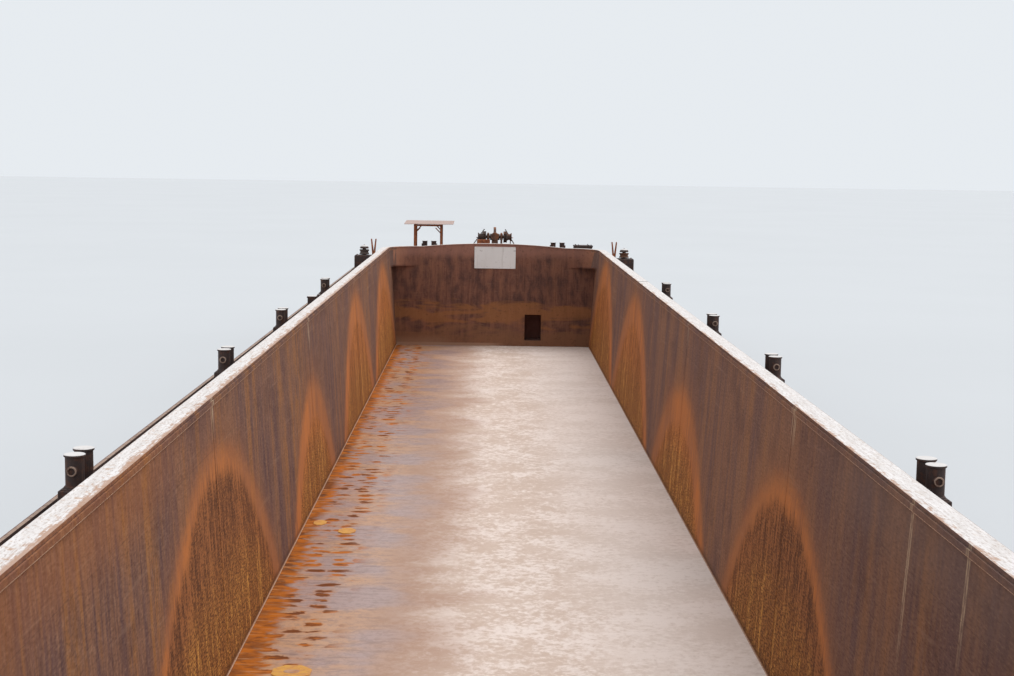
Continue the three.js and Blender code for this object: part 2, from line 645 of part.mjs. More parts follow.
function addShelter() {
  const s = SHELTER;
  const under = (y) => DECK + s.low + (s.high - s.low) * (y - s.y0) / (s.y1 - s.y0);
  add('shelter_roof', prism('x', [
    [s.y0, under(s.y0)],
    [s.y1, under(s.y1)],
    [s.y1, under(s.y1) + s.sheet],
    [s.y0, under(s.y0) + s.sheet],
  ], s.x0, s.x1), MATERIAL.roof);
  const half = s.post / 2;
  const pieces = s.postXs.flatMap((x) => s.postYs.map((y) => prism('x', [
    [y - half, DECK],
    [y + half, DECK],
    [y + half, under(y + half) - SEAM],
    [y - half, under(y - half) - SEAM],
  ], x - half, x + half)));
  const [y0, y1] = s.postYs;
  for (const x of s.postXs) {
    pieces.push(prism('x', [
      [y0, under(y0) - s.post],
      [y1, under(y1) - s.post],
      [y1, under(y1) - SEAM],
      [y0, under(y0) - SEAM],
    ], x - half, x + half));
  }
  for (const y of s.postYs) {
    pieces.push(box(s.postXs[0], s.postXs[1], y - half, y + half, under(y) - 0.14, under(y) - 0.03));
  }
  add('shelter_frame', join(...pieces), MATERIAL.rust);
}

// Access hatches on the end decks: a trunk with a lid hinged along its outboard edge
const HATCH = {
  half: 0.5, height: 1.15, wall: 0.05, lidThickness: 0.07, lidOverhang: 0.02,
  hingeOut: 0.1, lugRadius: 0.06, lugThickness: 0.1, lugY: 0.39, pinRadius: 0.025, strapHalf: 0.28,
};
const HATCHES = [
  { name: 'bow', x: 5.45, y: 40.0, sign: 1 },
  { name: 'stern', x: -5.7, y: -40.6, sign: -1 },
];

function addHatches() {
  const h = HATCH;
  const hingeX = h.half + h.hingeOut;
  const hingeZ = h.height + h.lidThickness / 2;
  const lugOutline = [
    [h.half - h.wall / 2, h.height - 0.28],
    [h.half + 0.02, h.height - 0.28],
    ...arc(hingeX, hingeZ, h.lugRadius, h.lugRadius, -30, 180, 8),
    [hingeX - h.lugRadius, h.height - 0.05],
    [h.half - h.wall / 2, h.height - 0.05],
  ];
  const well = box(-h.half + h.wall, h.half - h.wall, -h.half + h.wall, h.half - h.wall, 0.1, 2);
  const edge = h.half + h.lidOverhang;
  for (const { name, x, y, sign } of HATCHES) {
    const hatch = new THREE.Group();
    hatch.position.set(x * M, y * M, DECK * M);
    barge.add(hatch);
    const lugs = [-h.lugY, h.lugY].map((middle) => (
      prism('y', mirrored(lugOutline, sign), middle - h.lugThickness / 2, middle + h.lugThickness / 2)));
    const pin = (radius, half, sides) => rod('y', radius, 2 * half, [sign * hingeX, -half, hingeZ], sides);
    add(`hatch_trunk_${name}`, cut(
      join(cut(box(-h.half, h.half, -h.half, h.half, 0, h.height), well), ...lugs),
      pin(h.pinRadius + PIN_CLEARANCE, 0.5, POST_SIDES),
    ), MATERIAL.deckGear, hatch);
    const strap = [sign * (edge - 0.02), sign * hingeX].sort((a, b) => a - b);
    add(`hatch_lid_${name}`, join(
      box(-edge, edge, -edge, edge, h.height + SEAM, h.height + h.lidThickness),
      box(...strap, -h.strapHalf, h.strapHalf, h.height + 0.01, h.height + h.lidThickness - 0.01),
      pin(h.pinRadius, h.lugY + h.lugThickness / 2 - 0.02, POST_SIDES),
    ), MATERIAL.deckGear, hatch);
  }
}

// Signal mast on the stern deck: it folds down to port in its tabernacle
const MAST = { x: 0, y: -44.6, pivot: 0.7, height: 2.9, radius: 0.07, cheek: 0.06, inner: 0.11 };

function addMast() {
  const m = MAST;
  const mast = new THREE.Group();
  mast.position.set(m.x * M, m.y * M, DECK * M);
  barge.add(mast);
  const cheekTop = m.pivot + 0.16;
  const tabernacle = join(
    box(-0.3, 0.3, -0.3, 0.3, 0, 0.06),
    ...[-1, 1].map((side) => {
      const near = side * m.inner;
      const far = side * (m.inner + m.cheek);
      return box(-0.14, 0.14, Math.min(near, far), Math.max(near, far), 0.03, cheekTop);
    }),
    rod('y', 0.03, 2 * m.inner + 2 * m.cheek, [0, -m.inner - m.cheek, m.pivot], 12),
  );
  add('mast_tabernacle', tabernacle, MATERIAL.deckGear, mast);
  const pole = join(
    turned('z', [
      [0, 0.12],
      [m.radius, 0.12],
      [m.radius, m.height * 0.7],
      [m.radius * 0.6, m.height],
      [0, m.height],
    ], [0, 0, 0], 16),
    turned('z', [[0, 0], [0.13, 0], [0.13, 0.26], [0.05, 0.34], [0, 0.34]], [0, 0, m.height - 0.02], 16),
    box(-0.45, 0.45, -0.03, 0.03, m.height - 0.6, m.height - 0.54),
  );
  const bore = rod('y', 0.03 + PIN_CLEARANCE, 0.4, [0, -0.2, m.pivot], 16);
  add('signal_mast', cut(pole, bore), MATERIAL.mast, mast);
}

// Fore bulkhead's blank number board, the aft hold ladder and the skegs
function addSmallWork() {
  const boardTop = COAMING_TOP + 0.03;
  const boardBack = BULKHEAD_FACE - SEAM;
  add('number_board', box(-1.18, 1.33, boardBack - 0.04, boardBack, boardTop - 1.32, boardTop), MATERIAL.board);

  const ladder = { x: 2.4, half: 0.22, stand: 0.16, bar: 0.05, pitch: 0.3 };
  const y0 = -BULKHEAD_FACE + SEAM;
  const y1 = y0 + ladder.stand;
  const top = COAMING_TOP - FLANGE_THICKNESS - 0.08;
  const pieces = [-1, 1].flatMap((side) => {
    const x = ladder.x + side * ladder.half;
    const bracket = (z) => box(x - ladder.bar / 2, x + ladder.bar / 2, y0, y1, z, z + ladder.bar);
    return [
      box(x - ladder.bar / 2, x + ladder.bar / 2, y1 - ladder.bar, y1, FLOOR + 0.35, top),
      bracket(FLOOR + 0.4), bracket(FLOOR + 2.8), bracket(top - 0.4),
    ];
  });
  const rungs = Math.floor((top - FLOOR - 0.2) / ladder.pitch);
  for (let i = 2; i <= rungs; i++) {
    const z = FLOOR + i * ladder.pitch;
    pieces.push(box(ladder.x - ladder.half, ladder.x + ladder.half, y1 - 0.04, y1 - 0.01, z, z + 0.03));
  }
  add('hold_ladder', join(...pieces), MATERIAL.rust);

  for (const { name, sign } of SIDES) {
    const y = (t) => sternRakeStart - t * STERN_RAKE_LENGTH;
    add(`skeg_${name}`, prism('x', [
      [y(0.25), sternRakeAt(y(0.25)) - 2 * SEAM],
      [y(0.9), sternRakeAt(y(0.9)) - 2 * SEAM],
      [y(0.9), 0.15],
      [y(0.6), 0.05],
    ], sign * 4.6 - 0.08, sign * 4.6 + 0.08), MATERIAL.hull);
  }
}

addBottomAndWings();
addHullEnds();
addBulkheads();
addSideCoamings();
addEndCoamings();
addDeckEdge();
addBollards();
addCornerRollers();
addWindlass();
addGroundTackle();
addHornPosts();
addShelter();
addHatches();
addMast();
addSmallWork();

export default barge;
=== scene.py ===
# River cargo barge with an open hold, a 1:10 scale model dressed around its solids, in metres.
# +Y points to the bow, +X to starboard and +Z up. The origin is under the middle of the flat bottom.
import json
from math import cos, pi, radians, sin, tau

import bpy
from mathutils import Euler, Matrix, Vector

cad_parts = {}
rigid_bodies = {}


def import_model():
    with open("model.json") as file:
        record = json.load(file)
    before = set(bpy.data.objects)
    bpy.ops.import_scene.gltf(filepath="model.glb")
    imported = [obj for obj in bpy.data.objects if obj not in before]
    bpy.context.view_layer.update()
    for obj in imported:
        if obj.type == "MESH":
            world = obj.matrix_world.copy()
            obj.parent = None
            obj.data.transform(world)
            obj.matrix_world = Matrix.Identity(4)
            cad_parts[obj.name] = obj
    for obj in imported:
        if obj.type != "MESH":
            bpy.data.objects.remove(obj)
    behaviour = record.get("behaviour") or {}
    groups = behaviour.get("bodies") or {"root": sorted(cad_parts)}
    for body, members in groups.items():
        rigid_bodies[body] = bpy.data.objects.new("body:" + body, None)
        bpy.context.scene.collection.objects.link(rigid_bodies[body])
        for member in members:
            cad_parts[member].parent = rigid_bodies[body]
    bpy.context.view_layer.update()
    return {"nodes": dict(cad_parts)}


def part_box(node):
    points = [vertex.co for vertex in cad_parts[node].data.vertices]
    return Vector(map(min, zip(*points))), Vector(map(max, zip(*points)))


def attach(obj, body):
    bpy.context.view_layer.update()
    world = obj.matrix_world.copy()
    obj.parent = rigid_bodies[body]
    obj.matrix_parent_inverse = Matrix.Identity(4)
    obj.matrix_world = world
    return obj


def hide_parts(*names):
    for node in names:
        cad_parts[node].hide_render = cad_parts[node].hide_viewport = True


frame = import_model()

# Camera: a 53 mm lens held high above the stern, a little to port of the middle line.
# It looks forward along the hold and is tilted down by less than seven degrees.
bpy.ops.object.camera_add(
    location=(-0.0385, -5.237, 1.17), rotation=(radians(83.343), radians(-0.848), radians(-0.697)))
camera = bpy.context.active_object
camera.data.lens = 52.95
camera.data.clip_end = 200
bpy.context.scene.camera = camera
bpy.context.scene.view_settings.view_transform = "Standard"

# Light: an even pale dome and one very broad soft lamp from high on the starboard bow.
world = bpy.data.worlds.new("pale dome")
bpy.context.scene.world = world
world.use_nodes = True
dome = world.node_tree.nodes["Background"]
dome.inputs["Color"].default_value = (0.84, 0.88, 0.92, 1)
dome.inputs["Strength"].default_value = 0.95
bpy.ops.object.light_add(type="SUN", rotation=(radians(-16), radians(24), 0))
lamp = bpy.context.active_object
lamp.data.energy = 1.6
lamp.data.angle = radians(50)


# Floor: a plain pale plane at the height where the empty barge floats.
# The nodes of every finish are laid out with the short functions that follow.
WATERLINE = 0.058


class Value:
    """What a node gives out. Values add, subtract, multiply and divide like numbers."""

    def __init__(self, socket):
        self.socket = socket

    def __add__(self, other):
        return calc("ADD", self, other)

    def __sub__(self, other):
        return calc("SUBTRACT", self, other)

    def __rsub__(self, other):
        return calc("SUBTRACT", other, self)

    def __mul__(self, other):
        return calc("MULTIPLY", self, other)

    def __truediv__(self, other):
        return calc("DIVIDE", self, other)

    def __abs__(self):
        return calc("ABSOLUTE", self)


def wire(node, inputs):
    """Sets a node's inputs: a value is linked, and a number or colour is stored."""
    for key, value in inputs.items():
        if isinstance(value, Value):
            node.id_data.links.new(value.socket, node.inputs[key])
        else:
            node.inputs[key].default_value = value


def beside(inputs, kind):
    """Adds a node to the tree that its inputs are in, and wires them."""
    tree = next(value.socket.id_data for value in inputs.values() if isinstance(value, Value))
    return tree.nodes.new("ShaderNode" + kind)


def put(kind, inputs, output=0, **settings):
    """Adds a shader node with its settings and inputs, and gives one of its outputs."""
    node = beside(inputs, kind)
    for name, value in settings.items():
        setattr(node, name, value)
    wire(node, inputs)
    return Value(node.outputs[output])


def calc(operation, a, b=0.0, c=0.0):
    return put("Math", {0: a, 1: b, 2: c}, operation=operation)


def ease(value, low, high, amount=1.0):
    """0 at low, the amount at high and a smooth change between; low may be above high."""
    return put("MapRange", {0: value, 1: low, 2: high, 4: amount}, interpolation_type="SMOOTHSTEP")


def span(value, low, high):
    """Runs from low to high as a noise value goes over its usual range."""
    return put("MapRange", {0: value, 1: 0.35, 2: 0.65, 3: low, 4: high})


def tint(factor, a, b, blend="MIX"):
    """Mixes two colours. Each is a value, or red, green and blue from 0 to 255 as a screen shows them."""
    a, b = [tone if isinstance(tone, Value) else (*[((v / 255 + 0.055) / 1.055) ** 2.4 for v in tone], 1)
            for tone in (a, b)]
    return put("Mix", {0: factor, 6: a, 7: b}, 2, data_type="RGBA", blend_type=blend)


def layers(colour, *coats):
    """Lays more colours over one. Each coat is a mask, the range that it is eased over, if any, and
    a colour."""
    for mask, *window, tone in coats:
        colour = tint(ease(mask, *window) if window else mask, colour, tone)
    return colour


def noise(vector, detail=3.0, roughness=0.55, warp=0.0, scale=1.0):
    return put("TexNoise", {"Vector": vector, "Scale": scale, "Detail": detail, "Roughness": roughness,
                            "Distortion": warp})


def point(x, y, z=0.0):
    return put("CombineXYZ", {0: x, 1: y, 2: z})


def bump(height, distance):
    return put("Bump", {"Height": height, "Distance": distance, "Strength": 1.0})


def new_finish(name):
    """A material, its Principled shader and the place on the object."""
    material = bpy.data.materials.new(name)
    material.use_nodes = True
    nodes = material.node_tree.nodes
    return material, nodes["Principled BSDF"], Value(nodes.new("ShaderNodeTexCoord").outputs["Object"])


def start(kind, size=(1, 1, 1), **place):
    """Adds a primitive of that size along X, Y and Z, with nothing else selected."""
    bpy.ops.object.select_all(action="DESELECT")
    getattr(bpy.ops.mesh, f"primitive_{kind}_add")(**place)
    piece = bpy.context.active_object
    piece.data.transform(Matrix.Diagonal((*size, 1)))
    return piece


studio_floor = start("plane", (80, 80, 1), location=(0, 0, WATERLINE))
studio_floor.name = "studio_floor"
floor_finish, shader, where = new_finish("pale studio floor")
grey = put("Mix", {0: noise(where, scale=0.4), 6: (0.56, 0.57, 0.58, 1), 7: (0.6, 0.61, 0.62, 1)}, 2,
           data_type="RGBA")
wire(shader, {"Base Color": grey, "Roughness": 0.9})
studio_floor.data.materials.append(floor_finish)


# Hold floor: the tank top, steel plate welded over frames and girders, so it sags a little
# between them. Wet rust lies along the port side, and the starboard side is dry and dusty.
HOLD_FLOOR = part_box("double_bottom")[1].z
FRAME_BAYS, GIRDER_BAYS = 127, 15
SAG = 0.0012


def new_group(name, inputs, outputs):
    """A shader node group: its tree, what it is given by name, and its output node."""
    group = bpy.data.node_groups.new(name, "ShaderNodeTree")
    for label, kind in inputs:
        group.interface.new_socket(name=label, in_out="INPUT", socket_type="NodeSocket" + kind)
    for label in outputs:
        group.interface.new_socket(name=label, in_out="OUTPUT", socket_type="NodeSocketFloat")
    given = {socket.name: Value(socket) for socket in group.nodes.new("NodeGroupInput").outputs}
    return group, given, group.nodes.new("NodeGroupOutput")


def from_group(group, inputs):
    """Places a group beside its inputs and gives its outputs."""
    node = beside(inputs, "Group")
    node.node_tree = group
    wire(node, inputs)
    return [Value(socket) for socket in node.outputs]


# Grit: fine speckle, hand-sized mottle and broad clouds of one rusty surface
grit, given, result = new_group("grit", [("Vector", "Vector")], ("Speckle", "Mottle", "Cloud"))
wire(result,
     {"Speckle": noise(given["Vector"], 2.0, 0.7, scale=420),
      "Mottle": noise(given["Vector"], 5.0, 0.65, 0.3, scale=60),
      "Cloud": noise(given["Vector"], 4.0, 0.6, 0.4, scale=7)})


def gritty_finish(name):
    """A new finish: its material, its shader, x, y and z on the object, and the grit's three masks."""
    material, shader, where = new_finish(name)
    axes = put("SeparateXYZ", {0: where}).socket.node.outputs
    return material, shader, [Value(axis) for axis in axes], from_group(grit, {"Vector": where})


tank_top_finish, shader, (x, y, z), (speckle, mottle, cloud) = gritty_finish("tank top")
ripple = noise(point(x * 14, y * 24), 3.0, 0.55)
patches = noise(point(x * 3, y * 5), 3.0, 0.5)
brushed = noise(point(x * 9, y * 60), 4.0, 0.65)
stained = noise(point(x * 14, y * 30), 4.0, 0.6, 0.6)
sway = (stained - 0.5) * 0.13 + x
narrowing = ease(y, -2.1, -0.9, 0.02)
foot_strip = ease(sway + narrowing, -0.505, -0.55)
damp = (patches - 0.5) * 0.4 + x
wet = ease(damp, -0.2, -0.36)
cells = put("TexVoronoi", {"Vector": point(x * 13, y * 20.6), "Scale": 1.0, "Randomness": 0.5},
            "Distance", feature="F1")
scatter = (ripple - 0.5) * 1.1 + cells
oval = (stained - 0.5) * 0.8 + scatter
near_wall = ease(x, -0.34, -0.44)
island = ease(oval, 0.37, 0.27) * near_wall
rim = ease(oval, 0.5, 0.37) * (near_wall - island)
film = layers(
    tint(ease(patches, 0.44, 0.6), (182, 154, 146), (204, 158, 122)),
    (mottle, 0.48, 0.6, 0.4, (150, 126, 118)),
    (brushed, 0.5, 0.66, 0.45, (132, 104, 92)),
    (rim * 0.35, (206, 140, 86)))
puddle = tint(ease(brushed + cloud, 0.92, 1.1), (122, 68, 36), (196, 112, 44))
wet_colour = tint(island, film, puddle)
orange = layers(
    tint(ease(stained + ripple, 0.84, 1.12), (188, 104, 28), (146, 82, 34)),
    (stained + cloud, 1.02, 1.14, 0.8, (106, 60, 32)),
    (brushed, 0.54, 0.64, 0.5, (206, 150, 104)))
wet_colour = tint(foot_strip, wet_colour, orange)
dust = tint(ease(patches + mottle, 0.86, 1.14), (244, 228, 218), (232, 214, 202))
dust = tint(ease(brushed, 0.52, 0.66, 0.12), dust, (214, 192, 178))
dust = tint(ease(mottle, 0.56, 0.7, 0.35), dust, (210, 188, 174))
middle_part = ease(x, 0.4, 0.1) * ease(cloud + mottle, 0.84, 1.12, 0.6)
dry_colour = tint(middle_part, dust, tint(mottle, (190, 160, 138), (212, 186, 166)))
dry_colour = tint(ease(damp, 0.0, -0.24, 0.8), dry_colour, (178, 140, 118))
colour = tint(wet, dry_colour, wet_colour)
colour = tint(speckle * 0.16, colour, (110, 84, 66), "MULTIPLY")
shine = wet * (1.0 - calc("MAXIMUM", foot_strip, island))
wire(shader,
     {"Base Color": colour, "Roughness": span(mottle, 0.75, 0.9), "Coat Weight": shine * 0.6,
      "Coat Roughness": 0.22, "Specular IOR Level": 0.12, "Normal": bump(mottle, 0.0006)})

# Shell paint: dull red-brown anticorrosive paint that weeps rust, with the bottom's duller paint below
shell_finish, shader, (x, y, z), (speckle, mottle, cloud) = gritty_finish("shell paint")
bearing = x + y
weep = noise(point(bearing * 38, z * 2.2), 4.0, 0.65)
scuff = noise(point(bearing * 3, z * 42), 4.0, 0.7)
above = ease(cloud * 0.03 + z, WATERLINE + 0.012, WATERLINE + 0.022)
topside = layers(
    tint(cloud, (112, 62, 50), (88, 50, 42)),
    (weep, 0.52, 0.72, 0.75, (134, 74, 42)),
    (scuff, 0.62, 0.72, 0.6, (150, 122, 104)),
    (mottle * 0.09 + z, 0.19, 0.1, 0.75, (74, 54, 44)))
below = layers(tint(cloud, (84, 46, 38), (66, 42, 36)), (mottle, 0.55, 0.7, 0.6, (112, 96, 78)))
wire(shader,
     {"Base Color": tint(speckle * 0.2, tint(above, below, topside), (120, 100, 90), "MULTIPLY"),
      "Roughness": span(mottle, 0.75, 0.9), "Normal": bump(mottle + scuff, 0.0006)})


def choose(*pieces):
    """Selects only these pieces and makes the first one active."""
    bpy.ops.object.select_all(action="DESELECT")
    for piece in pieces:
        piece.select_set(True)
    bpy.context.view_layer.objects.active = pieces[0]


def edit(kind, action="SELECT"):
    """Goes into edit mode on vertices, edges or faces, with all or none of them selected."""
    bpy.ops.object.mode_set(mode="EDIT")
    bpy.ops.mesh.select_mode(type=kind)
    bpy.ops.mesh.select_all(action=action)


def pick_faces(piece, wanted):
    """Goes into edit mode with only the wanted faces selected; wanted is asked of each polygon."""
    choose(piece)
    edit("FACE", "DESELECT")
    bpy.ops.object.mode_set(mode="OBJECT")
    for face in piece.data.polygons:
        face.select = bool(wanted(face))
    bpy.ops.object.mode_set(mode="EDIT")


def done_editing():
    bpy.ops.object.mode_set(mode="OBJECT")


def finish_with(piece, kind, **settings):
    """Adds one modifier with its settings and applies it."""
    bpy.context.view_layer.objects.active = piece
    modifier = piece.modifiers.new(kind.lower(), kind)
    for name, value in settings.items():
        setattr(modifier, name, value)
    bpy.ops.object.modifier_apply(modifier=modifier.name)
    return piece


def everywhere(face):
    return True


def settle(piece, name, slot, *coats, body="hull"):
    """Names a piece and gives it its finishes and body; the slot is not used. Each coat is a material and
    a test of a face, and the first whose test holds is used. The last one is only a material and covers
    the rest."""
    piece.name = name
    choose(piece)
    bpy.ops.object.transform_apply(location=True, rotation=True, scale=True)
    finish_with(piece, "WEIGHTED_NORMAL", keep_sharp=True, weight=100)
    piece.data.materials.clear()
    *coats, rest = coats
    for material in (*[material for material, _ in coats], rest):
        piece.data.materials.append(material)
    for face in piece.data.polygons:
        face.material_index = next((i for i, (_, test) in enumerate(coats) if test(face)), len(coats))
    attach(piece, body)
    return piece


low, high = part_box("double_bottom")
tank_top = start("grid", (high.x, high.y, 1), x_subdivisions=GIRDER_BAYS, y_subdivisions=FRAME_BAYS,
                 location=(0, 0, HOLD_FLOOR))
bpy.ops.object.transform_apply(location=True, rotation=True, scale=True)
pick_faces(tank_top, everywhere)
bpy.ops.mesh.inset(thickness=0.011, depth=-SAG * 0.8, use_individual=True)
for seed in (3, 8):
    bpy.ops.mesh.select_random(ratio=0.35, seed=seed)
    done_editing()
    for face in tank_top.data.polygons:
        face.select = face.select and face.area > 0.0015
    bpy.ops.object.mode_set(mode="EDIT")
    bpy.ops.transform.translate(value=(0, 0, -SAG * 0.2))
done_editing()
finish_with(tank_top, "SUBSURF", levels=1, render_levels=1, boundary_smooth="PRESERVE_CORNERS")
pick_faces(tank_top, everywhere)
edit("EDGE", "DESELECT")
bpy.ops.mesh.select_non_manifold()
bpy.ops.mesh.extrude_edges_move(TRANSFORM_OT_translate={"value": (0, 0, -HOLD_FLOOR)})
bpy.ops.transform.resize(value=(1, 1, 0), center_override=(0, 0, 0))
bpy.ops.mesh.edge_face_add()
done_editing()
bpy.ops.object.shade_smooth_by_angle(angle=radians(30))
settle(tank_top, "tank_top", "hold_floor",
       (tank_top_finish, lambda face: face.normal.z > 0.5), shell_finish)
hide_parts("double_bottom")


# Side plating: each wing tank is a closed steel box from the bilge to the deck. Its hold side leans out,
# and rust has crept up it in a rounded arch over every welded butt, 1.7 m apart.
BUTT_SPACING = 1.7
FIRST_BUTT = -3.78
DRIP = 0.0075
WALL_LEAN = 0.0596
FLANGE_WIDTH = 0.0445
HOLD_HALF = Vector((0.6255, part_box("coaming_fore")[1].y - FLANGE_WIDTH))
COAMING_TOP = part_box("coaming_port")[1].z
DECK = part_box("wing_tank_port")[1].z

# Rain streaks: noise drawn out downwards on a wall, from thin runs to broad stains
streaks, given, result = new_group("rain streaks", [("Along", "Float"), ("Up", "Float"), ("Seed", "Float")],
                                   ("Fine", "Middle", "Broad"))
for label, along_scale, up_scale in (("Fine", 130, 5), ("Middle", 44, 1.8), ("Broad", 10, 0.9)):
    place = point(given["Along"] * along_scale, given["Up"] * up_scale, given["Seed"])
    wire(result, {label: noise(place, 5.0, 0.68)})


def rain(along, up, seed):
    """The streaks on one surface, as fine, middle and broad masks."""
    return from_group(streaks, {"Along": along, "Up": up, "Seed": seed})


def stepped(value, heights):
    """A value that steps through the heights, one for each bay of the hold between 0 and 1."""
    step = put("ValToRGB", {0: value})
    ramp = step.socket.node.color_ramp
    ramp.interpolation = "CONSTANT"
    while len(ramp.elements) < len(heights):
        ramp.elements.new(0.5)
    for i, height in enumerate(heights):
        ramp.elements[i].position = i / len(heights)
        ramp.elements[i].color = (height, height, height, 1)
    return step


def wall_finish(name, seed, arch_tops, arch_halves, marks, weathered, depth, pale_foot, painted_shade):
    """Rust-streaked paint of one side of the hold, with the arches' heights and half widths from the stern.
    Marks are the places, lengths and widths of pale drips, weathered is the colour that the upper edge has
    turned near the stern, depth is how strongly the paint is streaked, and the last number is how far the
    paint is darkened towards the stern as painted shade."""
    material, shader, (x, y, z), (speckle, mottle, cloud) = gritty_finish(name)
    fine, middle, broad = rain(y, z, seed)
    spread = rain(y * 1.7, z, seed + 4)[2]
    up = z - HOLD_FLOOR
    butt = (y - (FIRST_BUTT - BUTT_SPACING / 2)) / BUTT_SPACING
    bay = (calc("FLOOR", butt) + 0.5) / len(arch_tops)
    aside = (calc("FRACT", butt) - 0.5) * BUTT_SPACING
    reach = aside / stepped(bay, arch_halves)
    edge = stepped(bay, arch_tops) * (1.0 - reach * reach)
    wobble = (broad - 0.5) * 0.1 + (mottle + fine - 1.0) * 0.07
    level = up - edge + wobble
    grain = noise(point(y * 90, z * 26, seed), 4.0, 0.75)
    pits = noise(point(y * 64, z * 230, seed), 3.0, 0.7)
    uneven = ease(cloud + broad, 0.84, 1.1, depth)
    far = ease(y, -2.0, -0.9)
    rough = ease(grain + pits + middle, 1.32, 1.68)
    deep = tint(rough, tint(far, (90, 58, 42), (124, 76, 46)), tint(far, (170, 110, 68), (206, 130, 70)))
    gold = ease(grain + middle, 0.98, 1.14) * ease(pits + spread, 0.9, 1.1)
    golden = tint(gold, tint(ease(pits, 0.4, 0.6), (106, 68, 40), (178, 118, 64)), (230, 168, 84))
    near_limb = ease(reach, 0.7, -0.2, 0.55)
    patchy = ease(fine + broad, 0.8, 1.16)
    band = ease(level, 0.085, 0.0) * (patchy * (near_limb + 0.2) + 0.34)
    runs = abs(abs(aside) - DRIP)
    drips = ease(runs, 0.0024, 0.0008) * ease(up, 0.5, 0.57, 0.85)
    for along, length, width in marks:
        line = abs(abs(y - along) - width)
        reached = ease(z, COAMING_TOP - length, COAMING_TOP - length * 0.4, 0.8)
        streak = ease(line, width * 1.1, width * 0.25) * reached
        drips = calc("MAXIMUM", drips, streak * ease(grain, 0.3, 0.6))
    smudge = noise(point(y * 2.2, z * 46, seed), 4.0, 0.7)
    colour = layers(
        tint(ease(middle * depth + broad, 0.36 + 0.5 * depth, 0.64 + 0.5 * depth), (122, 92, 86),
             (152, 110, 86)),
        (fine, 0.46, 0.62, 0.4 * depth, (90, 65, 60)),
        (ease(spread, 0.5, 0.62, 0.8) * uneven, (172, 118, 70)),
        (middle, 0.45, 0.34, 0.45 * depth, (96, 72, 74)),
        (cloud, 0.5, 0.64, 0.4, (100, 73, 70)),
        (grain, 0.54, 0.66, 0.3 * depth, (186, 148, 122)),
        (grain, 0.46, 0.36, 0.4 * depth, (68, 48, 44)),
        (pits, 0.5, 0.64, 0.4, (74, 54, 50)),
        (pits, 0.46, 0.32, 0.4, (176, 138, 112)),
        (smudge, 0.58, 0.68, 0.25, (176, 142, 120)),
        (ease(up, 0.42, 0.56, 0.28) * ease(y, -2.2, -2.8), weathered),
        (level, 0.2, 0.02, 0.36, (166, 110, 70)),
        (band, tint(mottle, (206, 122, 58), (200, 132, 84))),
        (far * 0.07 + level, 0.015, -0.035, 0.94, deep),
        (ease(level, -0.05, -0.2) * ease(up, 0.34, 0.1, 0.85), golden),
        (drips, (214, 188, 156)),
        (mottle * 0.02 + up, 0.034, 0.014, 0.5, (70, 46, 36)),
        (up, 0.0065, 0.004, pale_foot, (196, 150, 118)))
    # Painted shade: towards the stern the paint is darkened, by the last number given, where the wall lies in
    # shade.
    colour = tint(ease(y, -1.5, -3.2, painted_shade), colour, (170, 160, 156), "MULTIPLY")
    wire(shader,
         {"Base Color": tint(speckle * 0.25, colour, (110, 90, 80), "MULTIPLY"),
          "Roughness": span(mottle, 0.8, 0.95), "Specular IOR Level": 0.12, "Normal": bump(mottle, 0.0004)})
    return material


def worn_finish(name, colour, *coats, roughness, depth, relief=("mottle", "speckle"), seed=0.0, sockets={}):
    """A plain worn surface under layers whose masks are named. Roughness is one number or a range, and
    relief names the masks that stand out."""
    material, shader, (x, y, z), grains = gritty_finish(name)
    names = ("speckle", "mottle", "cloud", "fine", "middle", "broad")
    masks = dict(zip(names, (*grains, *rain(x + y, z, seed))))
    colour = layers(colour, *[(masks[mask], *rest) for mask, *rest in coats])
    if isinstance(roughness, tuple):
        roughness = span(masks["mottle"], *roughness)
    height = masks[relief[0]]
    for mask in relief[1:]:
        height = height + masks[mask]
    wire(shader, {"Base Color": colour, "Roughness": roughness, "Normal": bump(height, depth), **sockets})
    return material


# Deck paint: red-brown over rust, scuffed where the crew walk
deck_finish = worn_finish(
    "deck paint", (110, 72, 60), ("cloud", (86, 60, 52)), ("mottle", 0.52, 0.66, 0.7, (128, 98, 80)),
    ("cloud", 0.55, 0.7, 0.6, (140, 88, 56)), ("speckle", 0.6, 0.75, 0.5, (60, 46, 42)),
    roughness=(0.77, 0.92), depth=0.0007)


def dressed(node, rounding=0.0, rounded=everywhere):
    """A merged copy of a CAD node's mesh, with its sharp edges rounded where their middles are wanted."""
    piece = bpy.data.objects.new("dressed_" + node, frame["nodes"][node].data.copy())
    bpy.context.scene.collection.objects.link(piece)
    pick_faces(piece, everywhere)
    bpy.ops.mesh.customdata_custom_splitnormals_clear()
    bpy.ops.mesh.remove_doubles(threshold=1e-5)
    bpy.ops.mesh.dissolve_limited(angle_limit=radians(1))
    edit("EDGE", "DESELECT")
    bpy.ops.mesh.edges_select_sharp(sharpness=radians(40))
    done_editing()
    if rounding:
        weights = piece.data.attributes.new("bevel_weight_edge", "FLOAT", "EDGE")
        for edge in piece.data.edges:
            a, b = [piece.data.vertices[i].co for i in edge.vertices]
            weights.data[edge.index].value = float(edge.select and rounded((a + b) / 2))
        finish_with(piece, "BEVEL", width=rounding, segments=2, limit_method="WEIGHT")
    bpy.ops.object.shade_smooth_by_angle(angle=radians(35))
    return piece


def on_deck(face):
    return face.normal.z > 0.9


